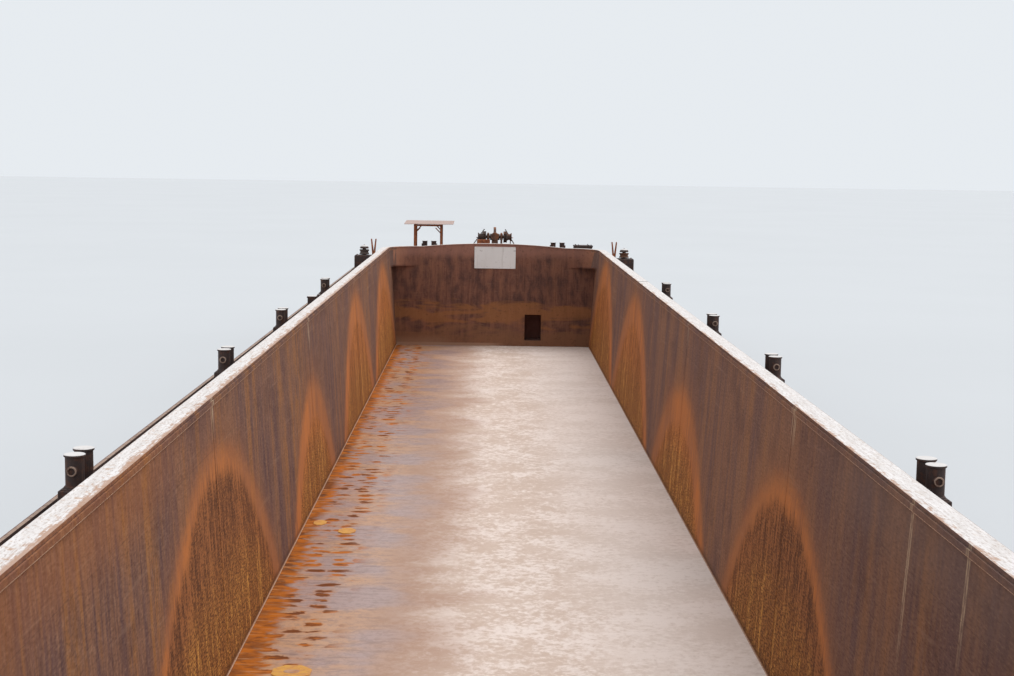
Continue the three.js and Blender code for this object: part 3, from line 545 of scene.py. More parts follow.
SIDES = (("port", -1), ("starboard", 1))
# The last number of each wall is its painted shade towards the stern: none for the lit port wall, some for
# the starboard wall, which lies in shade.
walls = {"port": wall_finish("port hold wall", 2.0, (0.47, 0.445, 0.34, 0.485, 0.5),
                             (0.72, 0.775, 0.55, 0.74, 0.8), ((-2.07, 0.075, 0.004), (-0.36, 0.13, 0.006)),
                             (190, 116, 58), 1.0, 0.5, 0.0),
         "starboard": wall_finish("starboard hold wall", 9.0, (0.44, 0.395, 0.34, 0.49, 0.53),
                                  (0.7, 0.65, 0.66, 0.8, 0.83),
                                  ((-2.985, 0.3, 0.004), (-3.257, 0.2, 0.004), (-2.1, 0.1, 0.004)),
                                  (150, 128, 118), 0.35, 0.2, 0.3)}
for side, sign in SIDES:
    plating = dressed(f"wing_tank_{side}", 0.0012,
                      lambda place: abs(place.x) > HOLD_HALF.x or place.z < HOLD_FLOOR)
    settle(plating, f"side_plating_{side}", "hold_wall",
           (walls[side], lambda face: face.normal.x * sign < -0.9), (deck_finish, on_deck), shell_finish)
    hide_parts(f"wing_tank_{side}")


# Bow and stern: closed tanks with a raked bottom under each end deck.
# Their plates are rolled at the corners and welded to the side plating.
for end in ("bow", "stern"):
    hull_end = dressed(f"{end}_section", 0.002)
    settle(hull_end, f"{end}_plating", "shell", (deck_finish, on_deck), shell_finish)
    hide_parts(f"{end}_section")


# Bulkheads: flat plates across both ends of the hold, dark and scratched by the grab.
# The fore one has an access opening, and rust has crept up both from the floor; their starboard parts get
# painted shade.
bulkhead_finish, shader, (x, y, z), (speckle, mottle, cloud) = gritty_finish("bulkhead paint")
fine, middle, broad = rain(x, z, 17.0)
up = z - HOLD_FLOOR
blotch = noise(point(x * 16, 0.0, z * 8), 5.0, 0.65, 0.3)
scratch = noise(point(x * 12, 0.0, z * 150), 4.0, 0.7)
swell = noise(point(x * 4, 0.0, z * 16), 3.0, 0.55, 0.6)
level = up + (swell - 0.5) * 0.3
colour = layers(
    tint(ease(blotch, 0.38, 0.66), (142, 99, 82), (100, 73, 67)),
    (middle, 0.5, 0.66, 0.5, (88, 63, 57)),
    (scratch, 0.56, 0.7, 0.4, (166, 128, 104)),
    (broad, 0.54, 0.66, 0.4, (160, 112, 86)),
    (fine, 0.52, 0.64, 0.4, (78, 56, 52)),
    (up, 0.52, 0.58, 0.6, (176, 128, 112)),
    (abs(level - 0.2), 0.07, 0.02, 0.6, (176, 120, 74)),
    (level, 0.14, 0.06, 0.75, (150, 108, 80)),
    (ease(abs(x), 0.5, 0.615, 0.8) * ease(z, DECK - 0.006, DECK), (176, 124, 98)),
    (mottle, 0.56, 0.68, 0.35, (72, 50, 46)),
    (ease(up, 0.07, 0.02, 0.6) * ease(x, -0.2, -0.4), (176, 138, 112)),
    (ease(up, 0.022, 0.012) * ease(x, 0.1, -0.05, 0.7), (190, 156, 132)))
# Painted shade: the starboard part of each bulkhead is darkened, where it lies in shade.
colour = tint(ease(x, -0.1, 0.4, 0.3), colour, (170, 160, 156), "MULTIPLY")
wire(shader,
     {"Base Color": tint(speckle * 0.2, colour, (120, 96, 84), "MULTIPLY"),
      "Roughness": span(mottle, 0.8, 0.95), "Specular IOR Level": 0.15, "Normal": bump(mottle, 0.0004)})
for end in ("fore", "aft"):
    bulkhead = dressed(f"bulkhead_{end}", 0.0008, lambda place: abs(place.x) < 0.5 and place.z < DECK - 0.02)
    settle(bulkhead, f"bulkhead_plate_{end}", "bulkhead", bulkhead_finish)
    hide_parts(f"bulkhead_{end}")


# Coaming: a plate on edge around the hold with a flat flange on top and stays outside.
# The flange is bleached and dusty, with its paint worn to brown along the hold.
CORNER_RADIUS = 0.19
PLATE_SETBACK = 0.0026

dusty_flange_finish, shader, (x, y, z), (speckle, mottle, cloud) = gritty_finish("dusty flange")
offset = put("VectorMath", {0: point(x, y, z)}, operation="ABSOLUTE")
offset = put("VectorMath", {0: offset, 1: (HOLD_HALF.x - CORNER_RADIUS, HOLD_HALF.y - CORNER_RADIUS, 9)},
             operation="SUBTRACT")
offset = put("VectorMath", {0: offset, 1: (0, 0, 0)}, operation="MAXIMUM")
outward = put("VectorMath", {0: offset}, "Value", operation="LENGTH") - CORNER_RADIUS
along = x + y
brushed = noise(point(along * 9, outward * 140), 4.0, 0.7)
ragged = noise(point(along * 34, outward * 60), 4.0, 0.7)
pepper = noise(point(along * 75, outward * 230), 3.0, 0.75)
port_side = ease(x, 0.1, -0.1)
worn = port_side * 0.007 + 0.002
inner = (brushed - 0.5) * -0.05 + outward
inner = (ragged - 0.5) * -0.05 + inner
inner = inner - worn
flange_butt = ease(abs(y - (FIRST_BUTT + 3 * BUTT_SPACING)), 0.012, 0.006, 0.85) * (1.0 - port_side)
colour = layers(
    tint(ease(brushed, 0.35, 0.65), (232, 226, 223), (212, 204, 199)),
    (ragged, 0.54, 0.68, 0.45, (206, 188, 172)),
    (pepper, 0.5, 0.64, 0.6, (170, 150, 138)),
    (ease(mottle, 0.56, 0.68, 0.7) * port_side, (184, 140, 104)),
    (inner, 0.006, -0.004, 0.75, (172, 124, 90)),
    (outward, 0.0006, 0.0, 0.8, (80, 58, 48)),
    (z, COAMING_TOP - 0.0006, COAMING_TOP - 0.0016, 0.95, tint(mottle, (120, 84, 64), (98, 72, 60))),
    (flange_butt, (62, 46, 42)))
wire(shader, {"Base Color": colour, "Roughness": 0.85, "Normal": bump(ragged + pepper, 0.0006)})

coaming_finish = worn_finish(
    "coaming paint", (92, 66, 58), ("middle", (124, 92, 80)), ("broad", 0.52, 0.68, 0.6, (140, 88, 56)),
    ("fine", 0.56, 0.7, 0.5, (166, 150, 138)), ("mottle", 0.56, 0.7, 0.6, (78, 52, 42)),
    roughness=(0.75, 0.9), depth=0.0005, relief=("mottle", "fine"), seed=31.0)


def is_flange(face):
    return face.normal.z > 0.9 and face.center.z > COAMING_TOP - 0.001


for side, sign in SIDES:
    coaming = dressed(f"coaming_{side}", 0.0008, lambda place: place.z > DECK + 0.01 or abs(place.x) > 0.63)
    pick_faces(coaming, lambda face: face.normal.x * sign < -0.9 and face.area > 0.3)
    bpy.ops.transform.translate(value=(-sign * PLATE_SETBACK, 0, 0))
    done_editing()
    settle(coaming, f"coaming_plate_{side}", "coaming", (dusty_flange_finish, is_flange),
           (walls[side],
            lambda face: face.normal.x * sign < -0.9 and abs(face.center.x) < HOLD_HALF.x + 0.01),
           coaming_finish)
    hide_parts(f"coaming_{side}")
for end, sign in (("fore", 1), ("aft", -1)):
    coaming = dressed(f"coaming_{end}", 0.0006, lambda place: place.z > DECK + 0.01)
    settle(coaming, f"coaming_plate_{end}", "coaming", (dusty_flange_finish, is_flange),
           (bulkhead_finish, lambda face: face.normal.y * sign < -0.5), coaming_finish)
    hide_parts(f"coaming_{end}")


# Doubler: a narrow flat bar welded round the hold just under the flange, with a thin pale bead along its
# foot. Grabs scrape it bright in places.
DOUBLER_TOP, DOUBLER_FOOT, BEAD_FOOT = COAMING_TOP - 0.0068, COAMING_TOP - 0.0165, COAMING_TOP - 0.0175
DOUBLER_THICKNESS = 0.003


def hoop(inset, low, high):
    """A flat ring that follows the inside of the coaming."""
    ring = start("plane", (HOLD_HALF.x - inset, HOLD_HALF.y - inset, 1), location=(0, 0, low))
    edit("VERT")
    bpy.ops.mesh.bevel(offset=CORNER_RADIUS - inset, segments=14, affect="VERTICES")
    edit("FACE")
    bpy.ops.mesh.inset(thickness=DOUBLER_THICKNESS)
    bpy.ops.mesh.delete(type="FACE")
    edit("FACE")
    bpy.ops.mesh.extrude_region_move(TRANSFORM_OT_translate={"value": (0, 0, high - low)})
    edit("FACE")
    bpy.ops.mesh.normals_make_consistent(inside=False)
    done_editing()
    return ring


weld_finish, shader, where = new_finish("weld bead")
ripple = noise(where, 3.0, scale=300)
wire(shader,
     {"Base Color": tint(ease(ripple, 0.4, 0.6), (150, 112, 88), (196, 158, 128)), "Roughness": 0.7,
      "Normal": bump(ripple, 0.0006)})
settle(hoop(0.0008, DOUBLER_FOOT, DOUBLER_TOP), "doubler_bar", "coaming",
       (walls["port"], lambda face: face.center.x < -0.3),
       (walls["starboard"], lambda face: face.center.x > 0.3), bulkhead_finish)
settle(hoop(0.001, BEAD_FOOT, DOUBLER_FOOT), "doubler_bead", "coaming", weld_finish)


# Foot bar and butt welds: a narrow bar closes the corner between floor and walls, and the wall plates
# meet in vertical welded butts with pale beads.
FOOT_BAR_RADIUS, BEAD_RADIUS = 0.0018, 0.0004
BAR_END = HOLD_HALF.y - 0.002


def rod(start_point, end_point, radius, sides=8, rounding=0.0):
    """A round bar between two points, with the edges of its ends rounded if asked."""
    a, b = Vector(start_point), Vector(end_point)
    piece = start("cylinder", (radius, radius, (b - a).length / 2), vertices=sides)
    aim = (b - a).to_track_quat("Z", "Y").to_matrix().to_4x4()
    piece.data.transform(Matrix.Translation((a + b) / 2) @ aim)
    if rounding:
        finish_with(piece, "BEVEL", width=rounding, segments=2, limit_method="ANGLE", angle_limit=radians(60))
    return piece


def gather(*pieces):
    """Joins pieces into the first one."""
    choose(*pieces)
    bpy.ops.object.join()
    return pieces[0]


def wall_point(sign, y, z):
    """A point on the face of a hold wall."""
    return (sign * (HOLD_HALF.x - (COAMING_TOP - z) * WALL_LEAN), y, z)


for side, sign in SIDES:
    foot = rod(wall_point(sign, -BAR_END, HOLD_FLOOR), wall_point(sign, BAR_END, HOLD_FLOOR),
               FOOT_BAR_RADIUS, 6)
    settle(foot, f"foot_bar_{side}", "hold_wall", weld_finish)
    beads = []
    for i in range(5):
        butt = FIRST_BUTT + i * BUTT_SPACING
        low, high = wall_point(sign, butt, HOLD_FLOOR + 0.004), wall_point(sign, butt, COAMING_TOP - 0.03)
        beads.append(rod(low, high, BEAD_RADIUS, 6))
    settle(gather(*beads), f"butt_welds_{side}", "hold_wall", walls[side])


# Deck edge: half-round rubbing strakes of split pipe on the shell, and low toe rails on the deck.
# Both are brown, chipped and rusty; the rails' tops are pale with scuffs and a painted highlight.
gear_finish = worn_finish(
    "dark deck gear", (78, 62, 58), ("cloud", (58, 46, 44)), ("mottle", 0.5, 0.62, 0.7, (100, 66, 52)),
    ("fine", 0.54, 0.68, 0.5, (124, 100, 88)), ("speckle", 0.58, 0.72, 0.5, (116, 82, 62)),
    roughness=(0.7, 0.85), depth=0.0006, seed=5.0, sockets={"Metallic": 0.2})
# The pale finish on the toe rails' tops and the bollard pins' rims: scuffed paint on the rails, and a painted
# highlight where light falls on both.
scuff_and_highlight_finish = worn_finish(
    "scuffed rail top and painted highlight", (176, 150, 132), ("cloud", (142, 114, 98)),
    ("mottle", 0.52, 0.64, 0.8, (92, 66, 56)), ("speckle", 0.56, 0.7, 0.6, (190, 168, 150)),
    roughness=(0.7, 0.85), depth=0.0006)
for side, sign in SIDES:
    strake = dressed(f"rubbing_strake_{side}", 0.0008)
    settle(strake, f"strake_{side}", "deck_gear", gear_finish)
    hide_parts(f"rubbing_strake_{side}")
    rail = dressed(f"toe_rail_{side}", 0.0012)
    settle(rail, f"toe_bar_{side}", "deck_gear", (scuff_and_highlight_finish, on_deck), gear_finish)
    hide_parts(f"toe_rail_{side}")


# Bollards: two capped pipe posts on a welded box pedestal, with a stub pin on the outer side of each.
# The tops of the caps are bleached pale and the posts are dark with chafed paint.
POST_RADIUS, CAP_RADIUS, COLLAR_RADIUS, POST_OFFSET = 0.01625, 0.0185, 0.01875, 0.029
PEDESTAL = Vector((0.046, 0.112, 0.05))
BOLLARD_HEIGHT = 0.11
PIN_RADIUS, PIN_HEIGHT, PIN_END = 0.009, 0.083, 0.0512
PIN_LENGTH = PIN_END - POST_OFFSET

cap_finish = worn_finish(
    "bleached caps", (226, 222, 220), ("mottle", (204, 196, 190)),
    ("mottle", 0.6, 0.7, 0.6, (140, 118, 104)), roughness=0.8, depth=0.0005, relief=("mottle",))
steel_finish = worn_finish(
    "worn steel", (98, 82, 74), ("mottle", (72, 58, 52)), ("cloud", 0.46, 0.6, 0.75, (118, 74, 50)),
    ("speckle", 0.6, 0.74, 0.5, (140, 124, 112)), roughness=(0.7, 0.85), depth=0.0004,
    sockets={"Metallic": 0.3})


def spun(profile, steps=24, axis="Z", at=(0, 0, 0)):
    """A turned piece: its profile of radius and height pairs goes once round an axis."""
    piece = start("plane")
    edit("VERT")
    bpy.ops.mesh.merge(type="CENTER")
    bpy.ops.transform.translate(value=(profile[0][0], 0, profile[0][1]))
    for (r0, h0), (r1, h1) in zip(profile, profile[1:]):
        bpy.ops.mesh.extrude_vertices_move(TRANSFORM_OT_translate={"value": (r1 - r0, 0, h1 - h0)})
    edit("VERT")
    bpy.ops.mesh.spin(steps=steps, angle=tau, center=(0, 0, 0), axis=(0, 0, 1))
    edit("VERT")
    bpy.ops.mesh.remove_doubles(threshold=1e-6)
    bpy.ops.mesh.normals_make_consistent(inside=False)
    done_editing()
    turn = {"X": Euler((0, pi / 2, 0)), "Y": Euler((-pi / 2, 0, 0)), "Z": Euler((0, 0, 0))}[axis]
    piece.data.transform(Matrix.Translation(at) @ turn.to_matrix().to_4x4())
    bpy.ops.object.shade_smooth_by_angle(angle=radians(35))
    return piece


def block(low, high, rounding=0.001, at=(0, 0, 0)):
    """A box between two corners with its edges rounded, moved to a place."""
    low, high = Vector(low), Vector(high)
    size = Vector([abs(side) / 2 for side in high - low])
    piece = start("cube", size)
    piece.data.transform(Matrix.Translation((low + high) / 2 + Vector(at)))
    finish_with(piece, "BEVEL", width=min(rounding, 0.45 * 2 * min(size)), segments=2)
    return piece


def copied(piece, place, turn=Matrix()):
    """A copy with its own mesh, turned or scaled by a matrix and then moved to a place."""
    twin = piece.copy()
    twin.data = piece.data.copy()
    bpy.context.scene.collection.objects.link(twin)
    twin.data.transform(Matrix.Translation(place) @ turn)
    return twin


def middle_of(node):
    """The middle of a CAD node's box, at its lowest level."""
    low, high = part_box(node)
    return Vector(((low.x + high.x) / 2, (low.y + high.y) / 2, low.z))


def remove(*models):
    """Takes away the models that copies were made from."""
    for model in models:
        bpy.data.objects.remove(model)


half = PEDESTAL / 2
parts = [block((-half.x, -half.y, 0), (half.x, half.y, PEDESTAL.z), 0.002),
         block((-half.x + 0.004, -half.y + 0.004, PEDESTAL.z - 0.001),
               (half.x - 0.004, half.y - 0.004, PEDESTAL.z + 0.002))]
for end in (-1, 1):
    post = spun([(0, PEDESTAL.z), (COLLAR_RADIUS, PEDESTAL.z), (COLLAR_RADIUS, PEDESTAL.z + 0.003),
                 (POST_RADIUS, PEDESTAL.z + 0.006), (POST_RADIUS, BOLLARD_HEIGHT - 0.0055),
                 (CAP_RADIUS, BOLLARD_HEIGHT - 0.004), (CAP_RADIUS, BOLLARD_HEIGHT - 0.0008),
                 (CAP_RADIUS - 0.001, BOLLARD_HEIGHT), (0, BOLLARD_HEIGHT - 0.0006)],
                at=(0, end * POST_OFFSET, 0))
    pin = spun([(0, 0), (PIN_RADIUS, 0), (PIN_RADIUS, PIN_LENGTH - 0.001), (PIN_RADIUS - 0.001, PIN_LENGTH),
                (PIN_RADIUS - 0.0028, PIN_LENGTH), (PIN_RADIUS - 0.0034, PIN_LENGTH - 0.003),
                (0, PIN_LENGTH - 0.003)], 16, "Y", (0, POST_OFFSET, PIN_HEIGHT))
    if end < 0:
        pin.data.transform(Matrix.Rotation(pi, 4, "Z"))
    parts += [post, pin]
for x_side in (-1, 1):
    rib_x = x_side * (half.x - 0.003)
    for place in (-0.05, 0, 0.05):
        parts.append(block((rib_x - 0.003, place - 0.0015, 0.002),
                           (rib_x + 0.003, place + 0.0015, PEDESTAL.z - 0.003), 0.0006))
bollard = gather(*parts)
for node in [name for name in frame["nodes"] if name.startswith("bollard_")]:
    foot = middle_of(node)
    along_deck = node[-1].isdigit()
    pair = copied(bollard, foot, Matrix.Rotation(0 if along_deck else pi / 2, 4, "Z"))
    # The rims of the pins' ends get the pale rail-top finish as a painted highlight, where light catches
    # them.
    settle(pair, f"double_{node}", "deck_gear",
           (cap_finish, lambda face: face.center.z > foot.z + BOLLARD_HEIGHT - 0.002 and face.normal.z > 0.5),
           (scuff_and_highlight_finish, lambda face: abs(face.center.z - foot.z - PIN_HEIGHT) < PIN_RADIUS
            and (face.center - foot).to_2d().length > PIN_END - 0.0012), gear_finish)
    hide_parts(node)
remove(bollard)


# Corner rollers: a spool turns on a thick spindle over a box pedestal and leads the ropes round the corner.
# A domed cap with a grease nipple keeps the spool on.
ROLLER_HALF, ROLLER_TOP = 0.052, 0.09
PANEL_HALF, PANEL_LOW, PANEL_HIGH = 0.036, 0.016, 0.07
WASHER_RADIUS, SPINDLE_RADIUS, DOME_RADIUS, DOME_RISE, NIPPLE_RADIUS = 0.034, 0.01, 0.025, 0.0175, 0.003
SPOOL_HEIGHT = 0.026
RIM, WAIST, BORE = 0.0275, 0.023, 0.0107
CAP_BOTTOM = ROLLER_TOP + 0.006 + SPOOL_HEIGHT + 0.006
CORNERS = ((-1, -1), (-1, 1), (1, -1), (1, 1))


def bolt(radius, low, high, at):
    """A six-sided bolt head."""
    return spun([(0, low), (radius, low), (radius, high), (0, high)], 6, at=at)


def corner_bolts(radius, low, high, middle, reach):
    """Four bolt heads at the corners of a plate."""
    return [bolt(radius, low, high, middle + Vector((x_side * reach, y_side * reach, 0)))
            for x_side, y_side in CORNERS]


dome = [(DOME_RADIUS * cos(a), CAP_BOTTOM + 0.002 + DOME_RISE * sin(a)) for a in (0.3, 0.6, 0.9, 1.2, 1.4)]
parts = [block((-ROLLER_HALF, -ROLLER_HALF, 0), (ROLLER_HALF, ROLLER_HALF, ROLLER_TOP), 0.003),
         block((-PANEL_HALF, -ROLLER_HALF - 0.0008, PANEL_LOW),
               (PANEL_HALF, -ROLLER_HALF + 0.002, PANEL_HIGH), 0.0008),
         block((-PANEL_HALF, ROLLER_HALF - 0.002, PANEL_LOW),
               (PANEL_HALF, ROLLER_HALF + 0.0008, PANEL_HIGH), 0.0008),
         spun([(0, ROLLER_TOP - 0.002), (WASHER_RADIUS, ROLLER_TOP - 0.002),
               (WASHER_RADIUS, ROLLER_TOP + 0.002), (SPINDLE_RADIUS, ROLLER_TOP + 0.004),
               (SPINDLE_RADIUS, CAP_BOTTOM), (DOME_RADIUS - 0.0015, CAP_BOTTOM),
               (DOME_RADIUS, CAP_BOTTOM + 0.002), *dome, (NIPPLE_RADIUS, CAP_BOTTOM + 0.0195),
               (NIPPLE_RADIUS, CAP_BOTTOM + 0.022), (0, CAP_BOTTOM + 0.022)])]
pedestal = gather(*parts, *corner_bolts(0.004, ROLLER_TOP, ROLLER_TOP + 0.003, Vector(), 0.044))
lower_half = [(RIM - 0.001, 0), (RIM, 0.001), (RIM, 0.0045), (RIM - 0.001, 0.0058), (WAIST + 0.001, 0.009),
              (WAIST, 0.0105)]
upper_half = [(radius, SPOOL_HEIGHT - height) for radius, height in reversed(lower_half)]
spool = spun([(BORE, 0.0008), (BORE + 0.0008, 0), *lower_half, *upper_half, (BORE + 0.0008, SPOOL_HEIGHT),
              (BORE, SPOOL_HEIGHT - 0.0008), (BORE, 0.0008)], 32)
for end in ("bow", "stern"):
    for side, sign in SIDES:
        node = f"roller_pedestal_{end}_{side}"
        dome_level = middle_of(node).z + CAP_BOTTOM
        box_piece = copied(pedestal, middle_of(node))
        settle(box_piece, f"roller_box_{end}_{side}", "deck_gear",
               (cap_finish, lambda face: face.center.z > dome_level and face.normal.z > 0.6), gear_finish)
        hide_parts(node)
        node = f"roller_spool_{end}_{side}"
        drum = copied(spool, middle_of(node))
        settle(drum, f"spool_{end}_{side}", "worn_steel", steel_finish, body=f"{node}_body")
        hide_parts(node)
remove(pedestal, spool)


# Horn posts: square tube posts near the bow corners that fork into two horns and hold a rope.
# They are rusted orange-brown, with a foot plate on four bolts and a collar below the fork.
COLLAR_HALF, COLLAR_LOW, COLLAR_HIGH = 0.0092, 0.066, 0.071
orange_finish = worn_finish(
    "orange rust", (176, 104, 62), ("mottle", 0.35, 0.65, (128, 70, 44)),
    ("cloud", 0.52, 0.66, 0.7, (196, 132, 84)), ("speckle", 0.58, 0.72, 0.6, (84, 50, 38)), roughness=0.88,
    depth=0.0008)
for side, sign in SIDES:
    node = f"horn_post_{side}"
    foot = middle_of(node)
    collar = block((-COLLAR_HALF, -COLLAR_HALF, COLLAR_LOW), (COLLAR_HALF, COLLAR_HALF, COLLAR_HIGH), at=foot)
    post = gather(dressed(node, 0.0012), collar, *corner_bolts(0.002, 0.002, 0.0062, foot, 0.0125))
    settle(post, f"forked_post_{side}", "rusty_frame", orange_finish)
    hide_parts(node)


# Deck edge fittings: a vent box with a mushroom cap stands at the port edge amidships, round sounding caps
# lie along both side decks, and short clips hold each toe rail.
VENT = Vector((-0.741, 0.74, DECK))
CAP_ROWS, CAP_X = (-3.2, -2.35, -1.5, -0.65, 0.3, 1.05, 1.9, 2.75), 0.775
CLIP_SPACING = 0.32
vent = [block((-0.016, -0.018, 0), (0.016, 0.018, 0.072), 0.0015, VENT),
        block((-0.018, -0.02, 0.071), (0.018, 0.02, 0.078), 0.0012, VENT),
        spun([(0, 0), (0.004, 0), (0.004, 0.074), (0.0085, 0.076), (0.0085, 0.081), (0.006, 0.086),
              (0, 0.0868)], 16, at=VENT + Vector((0.028, 0, 0)))]
settle(gather(*vent), "vent_box", "deck_gear",
       (cap_finish, lambda face: face.center.z > DECK + 0.0775 and face.normal.z > 0.9), gear_finish)
cap = spun([(0, 0), (0.009, 0), (0.009, 0.0028), (0.0078, 0.0038), (0.0048, 0.0038), (0.0048, 0.0056),
            (0, 0.0056)], 20)
clip = block((-0.009, -0.0014, 0), (0.009, 0.0014, 0.0085), 0.0006)
for side, sign in SIDES:
    caps = [copied(cap, (sign * CAP_X, y, DECK)) for y in CAP_ROWS]
    rail_x = middle_of(f"toe_rail_{side}").x
    rail_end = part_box(f"toe_rail_{side}")[1].y - 0.1
    clips = [copied(clip, (rail_x - sign * 0.006, -rail_end + i * CLIP_SPACING, DECK))
             for i in range(int(2 * rail_end / CLIP_SPACING) + 1)]
    settle(gather(*caps, *clips), f"deck_fittings_{side}", "deck_gear", gear_finish)
remove(cap, clip)


# Floor pads: three eight-sided doubling plates welded flat on the tank top beside the port wall.
# Rust has settled on them golden yellow, and an oval plug fills the middle of the nearest.
PADS = ((-0.455, -2.078, 0.046, 0.046), (-0.545, -0.717, 0.021, 0.034), (-0.4525, -0.817, 0.028, 0.036))
pad_finish = worn_finish(
    "golden rust", (220, 162, 66), ("mottle", 0.4, 0.62, (206, 142, 72)),
    ("speckle", 0.6, 0.75, 0.5, (180, 100, 40)), roughness=0.6, depth=0.0004, relief=("mottle",))
octagon = start("cylinder", vertices=8)
pads = []
for x, y, half_x, half_y in PADS:
    size = Matrix.Diagonal((half_x, half_y, 0.0016, 1))
    pad = copied(octagon, (x, y, HOLD_FLOOR - 0.0003), size @ Matrix.Rotation(pi / 8, 4, "Z"))
    finish_with(pad, "BEVEL", width=0.0006, segments=2, limit_method="ANGLE", angle_limit=radians(40))
    pads.append(pad)
plug = spun([(0, 0), (0.015, 0), (0.015, 0.0016), (0.0135, 0.002), (0.011, 0.002), (0.0095, 0.0014),
             (0, 0.0014)], 28)
pads.append(copied(plug, (*PADS[0][:2], HOLD_FLOOR), Matrix.Diagonal((1.2, 0.8, 1, 1))))
pads = gather(*pads)
first_plug_face = len(pads.data.polygons) - len(plug.data.polygons)
settle(pads, "floor_pads", "hold_floor",
       (tank_top_finish, lambda face: face.index >= first_plug_face), pad_finish)
remove(octagon, plug)


# Windlass: a geared shaft with two chain wheels and two warping heads in bearing frames on a welded bed.
# Its motor, gearbox and bed are rusted orange, and it has band brakes with screw handles.
shaft_low, shaft_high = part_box("windlass_shaft")
AXIS = (shaft_low + shaft_high) / 2
BED_TOP = DECK + 0.035
FRAME_X = 0.042
BEARING_BORE, BEARING_RADIUS = 0.0112, 0.019
BRAKE, HANDLE_RADIUS, SPINDLE_TOP = (0.1, 0.07), 0.016, BED_TOP + 0.11
TIE_OFFSET, TIE_HEIGHT = 0.03, BED_TOP + 0.03
machine_finish = worn_finish(
    "worn machine paint", (122, 88, 70), ("mottle", 0.35, 0.65, (86, 60, 48)),
    ("cloud", 0.46, 0.6, 0.85, (158, 94, 54)), ("speckle", 0.6, 0.72, 0.5, (176, 140, 112)), roughness=0.75,
    depth=0.0006, sockets={"Metallic": 0.2})
bearing = [(BEARING_BORE, -0.009), (BEARING_RADIUS - 0.001, -0.009), (BEARING_RADIUS, -0.008),
           (BEARING_RADIUS, 0.008), (BEARING_RADIUS - 0.001, 0.009), (BEARING_BORE, 0.009),
           (BEARING_BORE, -0.009)]
parts = [dressed("windlass_bed", 0.0015)]
for x_side in (-1, 1):
    x0 = AXIS.x + x_side * FRAME_X
    parts.append(spun(bearing, 24, "X", (x0, AXIS.y, AXIS.z)))
    for y_side in (-1, 1):
        stud_y = AXIS.y + y_side * 0.02
        parts.append(bolt(0.004, 0, 0.004, (x0 + x_side * 0.011, AXIS.y + y_side * 0.036, BED_TOP)))
        parts.append(rod((x0, stud_y, AXIS.z - 0.008), (x0, stud_y, AXIS.z + 0.02), 0.003, 6))
    brake_x, brake_y = AXIS.x + x_side * BRAKE[0], AXIS.y + BRAKE[1]
    hub = Vector((brake_x, brake_y, SPINDLE_TOP + 0.002))
    parts.append(rod((brake_x, brake_y, BED_TOP), (brake_x, brake_y, SPINDLE_TOP), 0.003))
    wheel = start("torus", major_radius=HANDLE_RADIUS, minor_radius=0.0022, major_segments=24,
                  minor_segments=8)
    wheel.data.transform(Matrix.Translation(hub))
    parts.append(wheel)
    for spoke in (0, pi / 2):
        reach = Vector((cos(spoke), sin(spoke), 0)) * HANDLE_RADIUS
        parts.append(rod(hub - reach, hub + reach, 0.0016, 6))
for tie_y in (AXIS.y - TIE_OFFSET, AXIS.y + TIE_OFFSET):
    parts.append(rod((AXIS.x - FRAME_X, tie_y, TIE_HEIGHT), (AXIS.x + FRAME_X, tie_y, TIE_HEIGHT), 0.005, 12))
bed = settle(gather(*parts), "windlass_frames", "windlass_frame", machine_finish)
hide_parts("windlass_bed")

# The motor has a ring of sixteen cooling fins round its case, and its gearbox four ledges.
MOTOR = Vector((AXIS.x, AXIS.y - 0.095, DECK + 0.162))
FINS, FIN_REACH = 16, 0.0252
GEARBOX_LEFT, GEARBOX_RIGHT, GEARBOX_FACE = AXIS.x - 0.1128, AXIS.x - 0.0295, AXIS.y - 0.0942
case_ring = [(0.0165, -0.0006), (0.0175, -0.0016), (0.0235, -0.0016), (0.0245, -0.0006), (0.0245, 0.001),
             (0.0165, 0.001), (0.0165, -0.0006)]
parts = [dressed("windlass_motor", 0.0015), spun(case_ring, 28, "Y", MOTOR)]
for i in range(FINS):
    turn = tau * i / FINS
    root = MOTOR + Vector((cos(turn), 0, sin(turn))) * FIN_REACH
    parts.append(rod(root + Vector((0, 0.004, 0)), root + Vector((0, 0.024, 0)), 0.0012, 6))
for i in range(4):
    ledge = DECK + 0.05 + 0.022 * i
    parts.append(block((GEARBOX_LEFT, GEARBOX_FACE, ledge),
                       (GEARBOX_RIGHT, GEARBOX_FACE + 0.0022, ledge + 0.004), 0.0008))
motor = settle(gather(*parts), "windlass_drive", "rusty_frame",
               (machine_finish, lambda face: face.center.x > AXIS.x - 0.028), orange_finish)
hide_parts("windlass_motor")

# The shaft turns with its toothed wheel, and each chain wheel has five studs that the links lie on.
TEETH, GEAR_RADIUS = 40, 0.062
STUDS, CHAIN_WHEEL_X, STUD_REACH, STUD_HALF = 5, 0.066, 0.033, Vector((0.0095, 0, 0))
parts = [dressed("windlass_shaft", 0.0006)]
tooth = block((-0.008, -0.0022, GEAR_RADIUS - 0.0026), (0.008, 0.0022, GEAR_RADIUS - 0.0002), 0.0007)
for i in range(TEETH):
    parts.append(copied(tooth, AXIS, Matrix.Rotation(tau * i / TEETH, 4, "X")))
remove(tooth)
for x_side in (-1, 1):
    for i in range(STUDS):
        turn = tau * i / STUDS
        place = AXIS + Vector((x_side * CHAIN_WHEEL_X, STUD_REACH * cos(turn), STUD_REACH * sin(turn)))
        parts.append(rod(place - STUD_HALF, place + STUD_HALF, 0.0035, 8, 0.0008))
shaft = settle(gather(*parts), "windlass_wheels", "worn_steel",
               (machine_finish, lambda face: abs(face.center.x - AXIS.x) < 0.009), steel_finish,
               body="windlass_shaft_body")
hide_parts("windlass_shaft")


